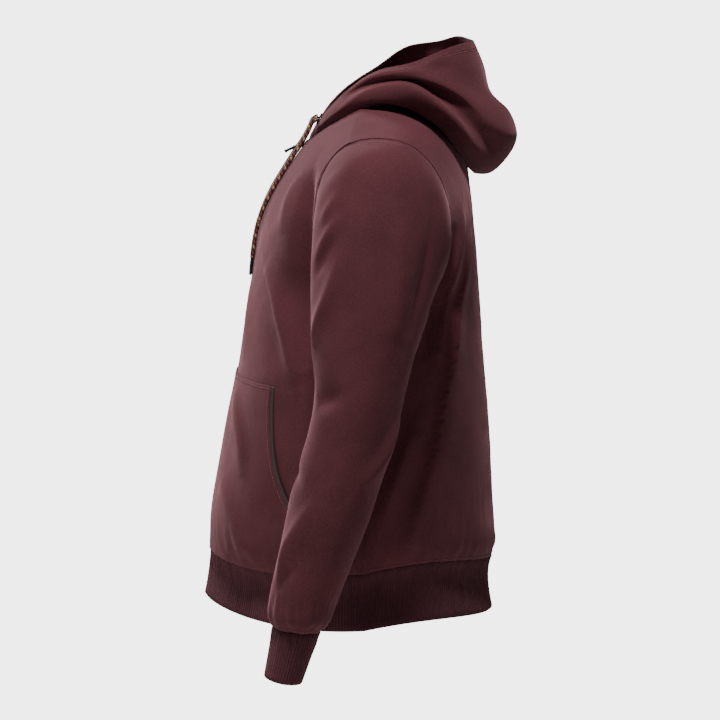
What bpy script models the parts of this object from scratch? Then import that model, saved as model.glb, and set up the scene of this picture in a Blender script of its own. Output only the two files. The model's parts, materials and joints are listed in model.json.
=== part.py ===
"""A zip-up hoodie, worn and filled out, with nobody in it.

The origin is the middle of the neck's base. The front faces -Y, the wearer's left is +X and +Z is up.
Sizes are in millimetres, and the meshes are made in metres.
"""
import math

import bpy
import numpy as np
from mathutils import Matrix, Vector

MM = 0.001
WALL = 2.0            # sweatshirt jersey
GAP = 0.3             # between pieces that meet
HOOD_GAP = 0.8        # the hood's seam turns most, and needs more
LONGEST_MITRE = 1.5   # the most that a wall reaches at a seam, in thicknesses
RIB_PITCH = 4.0       # one rib and its furrow
RIB_RISE = 0.8

# Each row of the body is a level up the cloth, with the number of mesh steps to the next level.
HEM_BOTTOM, HEM_SEAM, UNDERARM, NECK_CORNER, SHOULDER = 0, 1, 8, 12, 14
POCKET_TOP = 6
LEVELS = (0, 68, 80, 130, 190, 250, 310, 378, 446, 500, 545, 595, 640, 675, 715)
STEPS = (1, 1, 2, 2, 2, 2, 2, 2, 2, 2, 2, 2, 2, 2)

# The zip edge, a row for each level up to the corner of the neck: x, y, z.
ZIP_EDGE = (
    (4, -224, -668), (4, -215.5, -605), (4, -215.5, -594), (4, -212, -545), (4, -201, -485),
    (4, -190.5, -425), (4, -178, -368), (4, -168.5, -301), (4, -157, -232), (4, -149, -176),
    (4, -135, -138), (4, -108, -95), (4, -84, -63))
# The middle of the back, up to the neck.
BACK_MIDDLE = (
    (0, 160.5, -686), (0, 160, -616), (0, 164.5, -607), (0, 161.5, -560), (0, 159, -503),
    (0, 155.5, -443), (0, 151, -382), (0, 145.5, -318), (0, 141, -252), (0, 136, -196),
    (0, 130, -144), (0, 125, -92), (0, 89, -38))
# The side seam, from the hem's bottom to the underarm.
SIDE_SEAM = (
    (190, -10, -681), (189, -10, -607), (194, -10, -597), (198, -9, -548), (200, -8, -488),
    (200, -6, -430), (199, -3, -372), (195, 4, -312), (188, 14, -257))
# The armhole, from the underarm up the front to the shoulder seam, then down the back.
ARMHOLE = (
    (188, 14, -257), (184, -42, -224), (181, -66, -174), (183, -70, -128), (190, -62, -88),
    (203, -46, -63), (213, -29, -50), (221, 44, -50), (203, 84, -92), (190, 97, -143),
    (188, 90, -190), (186, 62, -234))
# The neckline, from the corner at the zip past the shoulder seam to the middle of the back.
NECKLINE = ((4, -84, -63), (52, -56, -38), (81, -15, -15), (74, 47, -12), (0, 89, -38))

# How each section of a front leaves the zip edge or neckline and reaches the side or armhole.
FRONT_HANDLES = (
    # leaves by          reaches from
    ((66, 8, -8), (-2, -112, -8)), ((76, 4, -8), (0, -107, -10)), ((84, 0, -7), (3, -110, -7)),
    ((90, 0, -2), (5, -112, -2)), ((94, 0, 0), (4, -110, 0)), ((96, 0, 0), (3, -106, 0)),
    ((98, -2, 0), (1, -102, 0)), ((100, -3, 0), (0, -104, 2)), ((100, -3, 0), (-2, -97, 4)),
    ((92, -3, 0), (-2, -66, 5)), ((80, -2, 0), (-12, -47, 8)), ((66, -2, 4), (-30, -28, 14)),
    ((60, -6, 4), (-40, -16, 16)), ((45, -4, -6), (-45, -4, 10)), ((44, -4, -10), (-42, 2, 9)))
BACK_HANDLES = (
    ((95, 2, 1), (2, 100, 22)), ((95, 2, 2), (2, 98, 27)), ((98, 3, 2), (3, 104, 25)),
    ((100, 4, 12), (4, 106, 12)), ((100, 4, 8), (4, 106, 6)), ((100, 4, 4), (3, 104, 3)),
    ((98, 4, 2), (1, 102, 0)), ((98, 4, 0), (-1, 98, 2)), ((98, 4, 0), (-3, 86, 5)),
    ((98, 4, 0), (-4, 54, 6)), ((92, 4, 2), (-12, 32, 10)), ((76, 6, 2), (-36, 16, 14)),
    ((66, 14, 0), (-52, 8, 16)), ((44, 6, -2), (-48, 2, 10)), ((44, -4, -10), (-42, 2, 9)))
HALF_COLUMNS = 10     # mesh columns from the middle to the side

# Where the pocket's open edge crosses each level, as a share of the front's width.
POCKET_EDGE = (0.80, 0.80, 0.80, 0.72, 0.58, 0.53) + (0.50,) * 9
POCKET_COLUMNS = 5
# The width of the zip's tape and of the pocket's tape, as shares of the front's width.
ZIP_TAPE_SHARE, POCKET_TAPE_SHARE = 0.05, 0.018

# A row for each section of a sleeve below the armhole, through four edge points.
SLEEVE = (
    # front y, z      back y, z       outer x, z    inner x, z
    ((-74, -150), (98, -165), (262, -66), (197, -268)),
    ((-77, -200), (88, -200), (290, -115), (203, -282)),
    ((-78, -250), (72, -245), (307, -185), (206, -302)),
    ((-77, -300), (57, -295), (316, -260), (208, -332)),
    ((-73, -355), (42, -355), (322, -335), (212, -375)),
    ((-80, -402), (28, -410), (325, -400), (218, -420)),
    ((-98, -462), (9, -475), (326, -465), (222, -475)),
    ((-110, -518), (-7, -525), (325, -522), (226, -530)),
    ((-120, -570), (-25, -573), (321, -570), (228, -576)),
    ((-130, -620), (-46, -626), (315, -622), (230, -627)),
    ((-132, -643), (-54, -650), (312, -645), (230, -649)),
    ((-126, -656), (-66.5, -663), (305, -659), (235, -661)))
CUFF_END = ((-137, -720), (-90, -729), (303, -725), (236, -726))
# Rings of mesh from one section of a sleeve to the next, starting at the armhole.
SLEEVE_STEPS = (2, 2, 1, 1, 2, 2, 2, 1, 1, 1, 1, 1)

# The hood's folds, a row each, at eight places from the zip round to the middle of the back.
HOOD_PLACES = (0, 0.25, 0.5, 0.65, 0.8, 0.9, 0.96, 1)
HOOD = (
    # zip corner, collar, neck side, shoulder, blade, back quarter, near back, back
    ((5.5, -83.7, -60.5), (55, -56, -36), (85.5, -12, -10), (89, 30, -5),
     (74, 68, -11), (46, 88, -21), (18, 96, -29), (0, 98, -31)),
    ((7, -83, -58), (58, -55, -33), (91, -8, -7.5), (107, 44, -12),
     (104, 86, -38.5), (75, 117, -77), (38, 130, -99), (0, 134.5, -106)),
    ((12, -80, -52), (66, -52, -25), (95, 3, 13), (113, 48, 15),
     (122, 92, -12), (98, 131, -62), (48, 149, -97), (0, 153, -106)),
    ((14, -77, -47), (62, -47, -12), (80, 0, 17), (92, 44, 22),
     (95, 97, -5), (80, 141, -50), (45, 165, -79), (0, 174, -90)),
    ((14, -76, -45), (61, -45, -9), (80, 0, 19), (95, 47, 24),
     (95, 104, 0), (82, 150, -38), (50, 180, -54), (0, 191, -56)),
    ((14, -75, -43), (60, -43, -6), (83, 0, 21), (101, 50, 26),
     (102, 102, 8), (83, 143, -17), (48, 171, -26), (0, 182, -26)),
    ((13, -73, -41), (58, -41, -2), (86, 4, 28), (101, 54, 32),
     (97, 98, 25), (72, 130, 10), (40, 150, 3), (0, 156, 2)),
    ((12, -72, -39), (56, -40, 0), (82, 7, 32), (96, 50, 38),
     (91, 88, 49), (68, 118, 50), (36, 138, 42), (0, 147, 36)),
    ((12, -70, -37), (53, -38, 2), (77, 6, 34), (90, 48, 43.5),
     (83, 90, 60), (61, 114, 67), (32, 128, 68), (0, 133, 69)))
# How much higher the right half's face edge lies at each place, and each row's share of that.
RIGHT_LIFT = (0, -1, -3, 14, 5, 5, 2, 0)
LIFT_SHARES = (0, 0, 0, 0, 0, 0.1, 0.4, 0.8, 1)
# Columns of the hood between one point of the neckline and the next.
HOOD_SPLITS = (1, 1, 1, 1, 2, 2, 3, 4)
# Rows of the hood between one fold and the next.
HOOD_STEPS = (1, 2, 2, 3, 2, 2, 2, 2, 1)


# The largest folds on the wearer's left, which the right repeats: piece, rise, half width, line.
FOLDS = (
    ("back", 6, 20, ((114, 124, -159), (137, 106, -257), (152, 100, -327), (167, 87, -403),
                     (178, 74, -472), (187, 55, -536), (190, 42, -584))),
    ("back", 4, 20, ((188, 54, -409), (196, 31, -469), (198, 10, -527), (198, -13, -569))),
    ("front", 6, 18, ((87, -141, -219), (112, -128, -244), (145, -115, -296), (169, -97, -370))),
    ("front", -9, 22, ((152, -80, -80), (163, -85, -126), (166, -91, -177), (161, -89, -229),
                       (165, -82, -280))),
    ("front", 3, 24, ((53, -198, -505), (110, -172, -560), (132, -155, -602))),
    ("sleeve", 3, 20, ((307, -35, -227), (310, -43, -274), (309, -49, -312))),
    ("sleeve", -4, 20, ((288, -71, -369), (311, -53, -361), (320, -35, -354))),
    ("sleeve", 4, 18, ((324, -63, -479), (312, -94, -525), (301, -110, -559), (297, -120, -604))))

# The zip lies behind the fronts' edges.
TAPE = 0.8
CHAIN_WIDTH, CHAIN_THICK = 5.2, 2.2
POCKET_TAPE_THICK = 1.2
# The slider, in a frame with its middle on the zip's top end, its y up the zip and its z out of the cloth.
PLATE = (9, 12, 1.5)
PLATE_RISE = 0.7      # from the cloth to the top plate
UNDER_PLATE, UNDER_DEPTH = 1.2, 3.7
POST_WIDTH, POST_LENGTH = 2.6, 2.4
CROWN_RADIUS, CROWN_WIRE, CROWN_RISE = 2.3, 0.8, 3.8
# The pull hangs forward from the crown: a ring, then a row of beads.
PULL_FALL = 26.0      # degrees below level
PULL_RING, PULL_WIRE = 2.6, 0.7
BEADS, BEAD_LENGTH, BEAD_RADIUS, BEAD_NECK, LAST_BEAD_RADIUS = 7, 3.2, 2.2, 1.5, 2.6

# The drawcord's free end on the wearer's left, from its eyelet: x, y, z.
CORD_RADIUS = 3.3
CORD = (
    (27, -72, -32.6), (27.5, -78, -36), (28.3, -83, -46.5), (29.2, -91.2, -61.5), (30, -102.2, -78),
    (30.6, -110.3, -90.5), (31.2, -119, -104.5), (32.3, -133.7, -129.5), (33, -145.7, -156.5),
    (33, -150.4, -171), (32.5, -153.6, -185.5), (31.5, -157.6, -214))
CORD_POINTS = 19
TIP_LENGTH, TIP_RADIUS = 24.0, 2.5
# The eyelet lies on this row of the hood's mesh, half way between its first two columns.
EYELET_ROW = 11
EYELET_RADIUS, EYELET_WIRE = 5.8, 0.8


def smooth(points, knots, places):
    """Read a smooth curve through points, which lie at the given knots, at each of the places."""
    points, knots = np.asarray(points, float), np.asarray(knots, float)
    gap = np.diff(knots).reshape(-1, *[1] * (points.ndim - 1))
    slope = np.diff(points, axis=0) / gap
    inner = (slope[1:] * gap[:-1] + slope[:-1] * gap[1:]) / (gap[:-1] + gap[1:])
    tangent = np.concatenate([1.5 * slope[:1] - 0.5 * inner[:1], inner, 1.5 * slope[-1:] - 0.5 * inner[-1:]])
    places = np.asarray(places, float)
    i = np.clip(np.searchsorted(knots, places, side="right") - 1, 0, len(knots) - 2)
    h = gap[i]
    t = (places - knots[i]).reshape(h.shape) / h
    return ((2 * t**3 - 3 * t**2 + 1) * points[i] + (t**3 - 2 * t**2 + t) * h * tangent[i]
            + (3 * t**2 - 2 * t**3) * points[i + 1] + (t**3 - t**2) * h * tangent[i + 1])


def chords(points):
    """Knots for a curve: the running distance through its points."""
    lengths = np.linalg.norm(np.diff(np.asarray(points, float), axis=0), axis=-1)
    return np.concatenate([[0], np.cumsum(lengths)])


def spread(knots, steps):
    """Places with a given number of even steps between each knot and the next."""
    parts = [np.linspace(a, b, n, endpoint=False) for a, b, n in zip(knots, knots[1:], steps)]
    return np.append(np.concatenate(parts), knots[-1])


def steps_between(first, last):
    """Mesh levels from one row of LEVELS to another."""
    return spread(LEVELS[first:last + 1], STEPS[first:last])


def along(points, first, last):
    """A border curve at the mesh levels between two rows."""
    knots = chords(points)
    rows = np.interp(steps_between(first, last), LEVELS[first:last + 1], knots)
    return smooth(points, knots, rows)


def armhole_loop():
    """The armhole's mesh points from the underarm up the front and down the back, the first not repeated."""
    loop = np.asarray(ARMHOLE[-2:] + ARMHOLE + ARMHOLE[:2], float)
    knots = chords(loop)
    steps = STEPS[UNDERARM:SHOULDER]
    places = spread(range(2, 3 + len(ARMHOLE)), steps + steps[::-1])[:-1]
    return smooth(loop, knots, np.interp(places, range(len(loop)), knots))


def neckline():
    """The neckline's mesh points from the zip corner to the middle of the back."""
    (x, y, z) = NECKLINE[-2]
    points = NECKLINE + ((-x, y, z),)
    knots = chords(points)
    steps = STEPS[NECK_CORNER:SHOULDER]
    return smooth(points, knots, spread(knots[:-1], steps + steps[::-1]))


def section(start, leave, reach, end, shares):
    """One section of the body from the middle to the side, read at even shares of its length."""
    t = np.linspace(0, 1, 65)[:, None]
    curve = ((1 - t)**3 * start + 3 * (1 - t)**2 * t * (start + leave)
             + 3 * (1 - t) * t**2 * (end + reach) + t**3 * end)
    length = chords(curve)
    return np.stack([np.interp(shares * length[-1], length, axis) for axis in curve.T], axis=1)


def half_body(middle, side, handles, edge):
    """A front, or half the back: a grid of points with a row for each mesh level."""
    levels = steps_between(HEM_BOTTOM, SHOULDER)
    leave, reach = (smooth([row[i] for row in handles], LEVELS, levels) for i in (0, 1))
    edge = np.interp(levels, LEVELS, edge)
    rows = []
    for i in range(len(levels)):
        inside = np.linspace(ZIP_TAPE_SHARE, edge[i], POCKET_COLUMNS)
        outside = np.linspace(edge[i] + POCKET_TAPE_SHARE, 1, HALF_COLUMNS - POCKET_COLUMNS)
        shares = np.concatenate([[0], inside, outside])
        rows.append(section(middle[i], leave[i], reach[i], side[i], shares))
    return np.array(rows)


def ring(row, angles):
    """A sleeve's section: an oval through its front, back, outer and inner edge points."""
    (front_y, front_z), (back_y, back_z), (outer_x, outer_z), (inner_x, inner_z) = row
    middle_x = (outer_x + inner_x) / 2
    front, back = np.array([middle_x, front_y, front_z]), np.array([middle_x, back_y, back_z])
    middle_y = (front_y + back_y) / 2
    outer, inner = np.array([outer_x, middle_y, outer_z]), np.array([inner_x, middle_y, inner_z])
    middle = (front + back + outer + inner) / 4
    across, out = (front - back) / 2, (inner - outer) / 2
    return middle + np.cos(angles)[:, None] * out + np.sin(angles)[:, None] * across


def sleeve_grid(loop):
    """A sleeve's rings from the armhole to the cuff seam, their columns turned so that it faces out."""
    angles = np.linspace(0, 2 * math.pi, len(loop), endpoint=False)
    rings = np.array([loop] + [ring(row, angles) for row in SLEEVE])
    knots = chords(rings.mean(axis=1)) + np.arange(len(rings)) * 8
    return smooth(rings, knots, spread(knots, SLEEVE_STEPS))[:, ::-1]


def hood_grid(neck, lifted):
    """Half the hood, a row of points from the neck seam up to the face edge, which the right half lifts."""
    places = spread(range(len(neck)), HOOD_SPLITS)
    seam = np.stack([np.interp(places, range(len(neck)), axis) for axis in neck.T], axis=1)
    rows = [seam]
    for fold, share in zip(HOOD, LIFT_SHARES):
        fold = [(x, y, z + lifted * share * lift) for (x, y, z), lift in zip(fold, RIGHT_LIFT)]
        (x, y, z) = fold[-2]
        points = fold + [(-x, y, z)]
        knots = chords(points)
        rows.append(smooth(points, knots, np.interp(places / places[-1], HOOD_PLACES, knots[:-1])))
    columns = []
    for points in np.stack(rows, axis=1):
        knots = chords(points)
        columns.append(smooth(points, knots, spread(knots, HOOD_STEPS)))
    return np.stack(columns, axis=1)


def mirrored(grid):
    """The same piece on the wearer's right, its columns reversed so that it still faces out."""
    return (grid * (-1, 1, 1))[:, ::-1]


def build_skin():
    """Every cloth piece as a grid of outer points that shares its seam points with its neighbours."""
    neck, arm = neckline(), armhole_loop()
    half, rise = len(arm) // 2, sum(STEPS[NECK_CORNER:SHOULDER])
    seam = along(SIDE_SEAM, HEM_BOTTOM, UNDERARM)
    zip_edge = along(ZIP_EDGE, HEM_BOTTOM, NECK_CORNER)
    back_middle = along(BACK_MIDDLE, HEM_BOTTOM, NECK_CORNER)
    front = half_body(np.vstack([zip_edge[:-1], neck[:rise + 1]]),
                      np.vstack([seam[:-1], arm[:half + 1]]), FRONT_HANDLES, POCKET_EDGE)
    back = half_body(np.vstack([back_middle[:-1], neck[:rise - 1:-1]]),
                     np.vstack([seam[:-1], arm[:1], arm[:half - 1:-1]]), BACK_HANDLES, [0.5] * len(LEVELS))
    band = sum(STEPS[:HEM_SEAM])
    skin = {
        "front_left": front[band:],
        "front_right": mirrored(front)[band:],
        "back_left": back[band:, ::-1],
        "back_right": mirrored(back)[band:, ::-1],
        "hem_band": np.hstack([half[:band + 1] for half in (
            front, back[:, -2::-1], mirrored(back)[:, -2::-1], mirrored(front)[:, 1:])]),
        "sleeve_left": sleeve_grid(arm),
        "hood_left": hood_grid(neck, False),
        "hood_right": mirrored(hood_grid(neck, True)),
    }
    angles = np.linspace(0, 2 * math.pi, len(arm), endpoint=False)
    skin["cuff_left"] = np.array([skin["sleeve_left"][-1], ring(CUFF_END, angles)[::-1]])
    for name in ("sleeve", "cuff"):
        skin[name + "_right"] = mirrored(skin[name + "_left"])
    return skin


def is_tube(name):
    """Sleeves and cuffs close round the arm."""
    return name.startswith(("sleeve", "cuff"))


def grid_quads(rows, columns, tube):
    """The corner numbers of a grid's quads, in the order that faces out."""
    i, j = np.meshgrid(range(rows - 1), range(columns if tube else columns - 1), indexing="ij")
    near, far = i * columns + j, i * columns + (j + 1) % columns
    return np.stack([near, far, far + columns, near + columns], axis=-1).reshape(-1, 4)


def skin_normals(skin):
    """Normals of the joined skin, alike at a seam, and longer there so that a wall keeps its thickness."""
    points = np.concatenate([grid.reshape(-1, 3) for grid in skin.values()])
    same = np.unique(np.round(points, 3) + 0.0, axis=0, return_inverse=True)[1].reshape(-1)
    total, closeness, count = (np.zeros((same.max() + 1, 3)), np.zeros(same.max() + 1),
                               np.zeros(same.max() + 1))
    start, parts, corners_of = 0, [], []
    for name, grid in skin.items():
        rows, columns = grid.shape[:2]
        quads = grid_quads(rows, columns, is_tube(name))
        corners = grid.reshape(-1, 3)[quads]
        facing = np.cross(corners[:, 2] - corners[:, 0], corners[:, 3] - corners[:, 1])
        facing /= np.linalg.norm(facing, axis=1, keepdims=True)
        for corner in range(4):
            place = same[start + quads[:, corner]]
            np.add.at(total, place, facing)
            corners_of.append((place, facing))
        parts.append((name, slice(start, start + rows * columns), grid.shape))
        start += rows * columns
    total /= np.linalg.norm(total, axis=1, keepdims=True)
    for place, facing in corners_of:
        np.add.at(closeness, place, (total[place] * facing).sum(axis=1))
        np.add.at(count, place, 1)
    total /= np.maximum(closeness / count, 1 / LONGEST_MITRE)[:, None]
    normals = {name: total[same[part]].reshape(shape) for name, part, shape in parts}
    # The hood has seam points between the neckline's, which turn as their neighbours do.
    shared = np.cumsum((0,) + HOOD_SPLITS)
    for name, order in (("hood_left", 1), ("hood_right", -1)):
        seam = normals[name][0, ::order]
        seam[:] = np.stack([np.interp(range(len(seam)), shared, axis) for axis in seam[shared].T], axis=1)
    return normals


def drawn_back(border, inner, distance):
    """A border moved towards the next row until it lies the distance from where it was."""
    tangent = np.gradient(border, axis=0)
    tangent /= np.linalg.norm(tangent, axis=1, keepdims=True)
    step = inner - border
    across = step - (step * tangent).sum(axis=1, keepdims=True) * tangent
    return border + step * (distance / np.linalg.norm(across, axis=1))[:, None]


def inset(grid, normals, tube, gap=GAP):
    """A piece with its borders drawn back from its seams by half a gap, more where the cloth folds there."""
    grid = grid.copy()
    distance = gap / 2 * np.linalg.norm(normals, axis=-1)
    for edge, inner in ((0, 1), (-1, -2)):
        grid[edge] = drawn_back(grid[edge], grid[inner], distance[edge])
    if not tube:
        for edge, inner in ((0, 1), (-1, -2)):
            grid[:, edge] = drawn_back(grid[:, edge], grid[:, inner], distance[:, edge])
    return grid


def halved(quads, points):
    """Each quad as two triangles along its shorter diagonal, and mirrored on the wearer's right."""
    faces = []
    for quad in quads:
        a, b, c, d = points[quad]
        on_left = a[0] + b[0] + c[0] + d[0] > 0
        first, second = np.linalg.norm(c - a), np.linalg.norm(d - b)
        along_first = first < second * 1.02 if on_left else first * 1.02 < second
        for corners in ((0, 1, 2), (0, 2, 3)) if along_first else ((0, 1, 3), (1, 2, 3)):
            faces.append(tuple(quad[list(corners)]))
    return faces


def strip(upper, lower, tube, turn):
    """Triangles between two rows of corners, which may differ in number, turned over where asked."""
    if tube:
        upper, lower = np.append(upper, upper[0]), np.append(lower, lower[0])
    faces, i, j = [], 0, 0
    while i < len(upper) - 1 or j < len(lower) - 1:
        if j == len(lower) - 1 or (i < len(upper) - 1
                                   and (i + 0.5) * (len(lower) - 1) <= (j + 0.5) * (len(upper) - 1)):
            faces.append((upper[i], upper[i + 1], lower[j]))
            i += 1
        else:
            faces.append((upper[i], lower[j + 1], lower[j]))
            j += 1
    return [face[::-1] for face in faces] if turn else faces


def band_wall(name, outer, inner, tube, look):
    """A closed wall between grids of two rows each, the inner one with fewer columns."""
    out_index = np.arange(outer.shape[0] * outer.shape[1]).reshape(outer.shape[:2])
    in_index = np.arange(inner.shape[0] * inner.shape[1]).reshape(inner.shape[:2]) + out_index.size
    points = np.concatenate([outer.reshape(-1, 3), inner.reshape(-1, 3)])
    faces = halved(grid_quads(*outer.shape[:2], tube), points)
    faces += [face[::-1] for face in halved(grid_quads(*inner.shape[:2], tube) + out_index.size, points)]
    faces += strip(out_index[0], in_index[0], tube, True)
    faces += strip(out_index[-1], in_index[-1], tube, False)
    if not tube:
        faces += strip(out_index[:, 0], in_index[:, 0], False, False)
        faces += strip(out_index[:, -1], in_index[:, -1], False, True)
    return mesh_object(name, points, faces, look)


def wall(name, pairs, tube, look):
    """A closed wall between outer and inner grids of the same shape, joined where their points are alike."""
    outers, inners, quads, start = [], [], [], 0
    for outer, inner in pairs:
        outers.append(outer.reshape(-1, 3))
        inners.append(inner.reshape(-1, 3))
        quads.append(grid_quads(*outer.shape[:2], tube) + start)
        start += len(outers[-1])
    outers, inners = np.concatenate(outers), np.concatenate(inners)
    first, same = np.unique(np.round(outers, 4) + 0.0, axis=0, return_index=True, return_inverse=True)[1:]
    outers, inners = outers[first], inners[first]
    skin_faces = halved(same.reshape(-1)[np.concatenate(quads)], outers)
    edges = {(face[k], face[(k + 1) % 3]) for face in skin_faces for k in range(3)}
    back = len(outers)
    faces = skin_faces + [tuple(corner + back for corner in face[::-1]) for face in skin_faces]
    for a, b in sorted(edges):
        if (b, a) not in edges:
            slants = np.linalg.norm(outers[b] - inners[a]), np.linalg.norm(outers[a] - inners[b])
            if slants[0] < slants[1]:
                faces += [(b, a, a + back), (b, a + back, b + back)]
            else:
                faces += [(b, a, b + back), (a, a + back, b + back)]
    return mesh_object(name, np.concatenate([outers, inners]), faces, look)


def mesh_object(name, points, faces, look):
    """A named part from faces and points in millimetres."""
    mesh = bpy.data.meshes.new(name)
    mesh.from_pydata([tuple(map(float, p * MM)) for p in points], [], [tuple(map(int, f)) for f in faces])
    mesh.shade_smooth()
    mesh.set_sharp_from_angle(angle=math.radians(40))
    mesh.materials.append(look)
    part = bpy.data.objects.new(name, mesh)
    PARTS.objects.link(part)
    return part


def paint(name, colour, roughness, metallic=0.0):
    """A plain material."""
    look = bpy.data.materials.new(name)
    look.use_nodes = True
    shader = look.node_tree.nodes["Principled BSDF"]
    shader.inputs["Base Color"].default_value = (*colour, 1)
    shader.inputs["Roughness"].default_value = roughness
    shader.inputs["Metallic"].default_value = metallic
    return look


def along_band(grid, normals, tube, per_rib, rise):
    """A band's points at a number of even places for each rib, every other one raised."""
    ring_points = np.vstack([grid[0], grid[0][:1]]) if tube else grid[0]
    length = chords(ring_points)
    count = int(round(length[-1] / RIB_PITCH))
    places = np.linspace(0, length[-1], round(per_rib * count) + 1)[:-1 if tube else None]
    columns = np.interp(places, length, range(len(length)))
    low = np.minimum(columns.astype(int), len(length) - 2)
    part = (columns - low)[:, None]
    high = (low + 1) % grid.shape[1]
    rise = rise * (np.arange(len(places)) % 2)[:, None]
    return np.array([row[low] * (1 - part) + row[high] * part
                     + rise * (normal[low] * (1 - part) + normal[high] * part)
                     for row, normal in zip(grid, normals)])


def pressed(skin, normals):
    """The skin with its folds raised, and its borders left where they meet other pieces."""
    result = {}
    for name, grid in skin.items():
        raised = np.zeros(grid.shape[:2])
        for piece, rise, width, line in FOLDS:
            if not name.startswith(piece):
                continue
            path = smooth(line, chords(line), np.linspace(0, chords(line)[-1], 40))
            for side in (1, -1):
                away = np.linalg.norm(grid[:, :, None] - path * (side, 1, 1), axis=-1)
                along_line = away.argmin(axis=-1) / (len(path) - 1)
                raised += rise * np.exp(-(away.min(axis=-1) / width)**2) * np.sin(np.pi * along_line)**0.7
        raised[[0, -1]] = 0
        if not is_tube(name):
            raised[:, [0, -1]] = 0
        result[name] = grid + normals[name] * raised[..., None]
    return result


def make_cloth(skin, normals, cloth, rib):
    """The sewn pieces as walls, with ribs on the bands."""
    back_pairs = []
    for name, grid in skin.items():
        tube = is_tube(name)
        outer = inset(grid, normals[name], tube, HOOD_GAP if name.startswith("hood") else GAP)
        if name.startswith("back"):
            middle = 0 if name.endswith("right") else -1
            neck = sum(STEPS[HEM_SEAM:NECK_CORNER])
            outer[:neck, middle, 0] = 0
            fall = grid[neck - 1, middle] - grid[neck, middle]
            outer[neck, middle] = grid[neck, middle] + fall * HOOD_GAP / np.linalg.norm(fall)
        inner = outer - normals[name] * WALL
        if name.startswith("back"):
            back_pairs.append((outer, inner))
        elif name.startswith(("cuff", "hem")):
            outer = along_band(outer, normals[name], tube, 2, RIB_RISE)
            inner = along_band(inner, normals[name], tube, 0.5, 0)
            band_wall(name, outer, inner, tube, rib)
        else:
            wall(name, [(outer, inner)], tube, cloth)
    wall("back", back_pairs, False, cloth)


def both_sides(name, outer, inner, look):
    """A piece on the wearer's left and its mirror image on the right."""
    wall(name + "_left", [(outer, inner)], False, look)
    wall(name + "_right", [(mirrored(outer), mirrored(inner))], False, look)


def make_pockets(skin, normals, cloth, trim):
    """Flat patch pockets on the fronts, with a tape along the slanted opening."""
    top = sum(STEPS[HEM_SEAM:POCKET_TOP])
    front, out = skin["front_left"][:top + 1], normals["front_left"][:top + 1]
    front = inset(front, out, False)
    edge = POCKET_COLUMNS
    panel, rise = front[:, :edge + 1], out[:, :edge + 1]
    both_sides("pocket", panel + rise * (GAP + WALL), panel + rise * GAP, cloth)
    rise = out[2:, edge:edge + 2]
    tape = inset(front[2:, edge:edge + 2], rise, False, 2 * GAP)
    both_sides("pocket_tape", tape + rise * (GAP + POCKET_TAPE_THICK), tape + rise * GAP, trim)


def zip_line(skin, normals):
    """The left zip edge and the column beside it, from the hem's bottom to just under the neck."""
    corner = sum(STEPS[HEM_SEAM:NECK_CORNER])
    columns = [np.vstack([part["hem_band"][:1, :2], part["front_left"][:corner + 1, :2]])
               for part in (skin, normals)]
    for part in columns:
        part[-1] = part[-2] + (part[-1] - part[-2]) * 0.8
    return columns


def make_zip(skin, normals, metal, tape_look):
    """The tapes behind the fronts' edges, and the chain between them."""
    edge, out = zip_line(skin, normals)
    straight = out[:, 0] * (0, 1, 1)
    straight /= np.linalg.norm(straight, axis=1, keepdims=True)
    middle = edge[:, 0] * (0, 1, 1)
    depth = WALL + GAP
    tape = np.stack([middle + (GAP / 2, 0, 0), edge[:, 0], edge[:, 1]], axis=1)
    rise = np.stack([straight, out[:, 0], out[:, 1]], axis=1)
    both_sides("zip_tape", tape - rise * depth, tape - rise * (depth + TAPE), tape_look)
    chain = np.stack([middle + (x, 0, 0) for x in (-CHAIN_WIDTH / 2, CHAIN_WIDTH / 2)], axis=1)
    rise = straight[:, None]
    wall("zip_chain", [(chain + rise * (CHAIN_THICK - WALL), chain - rise * WALL)], False, metal)
    return edge


def placed(part, name, look, matrix):
    """Name and paint a new body, put it among the parts and place it."""
    for home in list(part.users_collection):
        home.objects.unlink(part)
    PARTS.objects.link(part)
    part.name = part.data.name = name
    part.data.materials.append(look)
    part.data.shade_smooth()
    part.data.set_sharp_from_angle(angle=math.radians(40))
    part.matrix_world = matrix
    return part


def box(name, size, middle, look, frame):
    """A box whose middle lies at a point of the frame, in millimetres."""
    bpy.ops.mesh.primitive_cube_add(size=MM)
    part = bpy.context.object
    part.data.transform(Matrix.Translation(Vector(middle) * MM) @ Matrix.Diagonal((*size, 1)))
    return placed(part, name, look, frame)


def ring_body(name, radius, wire, look, matrix):
    """A ring of wire about its own z."""
    bpy.ops.mesh.primitive_torus_add(major_radius=radius * MM, minor_radius=wire * MM,
                                     major_segments=16, minor_segments=6)
    return placed(bpy.context.object, name, look, matrix)


def turned(name, profile, look, matrix, sides=10):
    """A body turned about its own z, from a profile of radius and height that runs from its top down."""
    mesh = bpy.data.meshes.new(name)
    points = [(radius * MM, 0, height * MM) for radius, height in profile]
    mesh.from_pydata(points, [(i, i + 1) for i in range(len(points) - 1)], [])
    part = bpy.data.objects.new(name, mesh)
    screw = part.modifiers.new("turn", "SCREW")
    screw.steps = screw.render_steps = sides
    screw.use_merge_vertices = True
    screw.merge_threshold = 0.0001 * MM
    return placed(part, name, look, matrix)


def join_to(body, others):
    """Make bodies that overlap one body."""
    for other in others:
        PARTS.objects.unlink(other)
        CUTTERS.objects.link(other)
        other.hide_render = True
        other.display_type = "WIRE"
        union = body.modifiers.new("join", "BOOLEAN")
        union.operation = "UNION"
        union.object = other


def aimed(place, direction):
    """A frame at a place, its z along a direction and its x across the garment."""
    along_z = Vector(direction).normalized()
    across = Vector((1, 0, 0))
    across = (across - across.dot(along_z) * along_z).normalized()
    return Matrix.Translation(place) @ Matrix((across, along_z.cross(across), along_z)).transposed().to_4x4()


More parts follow.
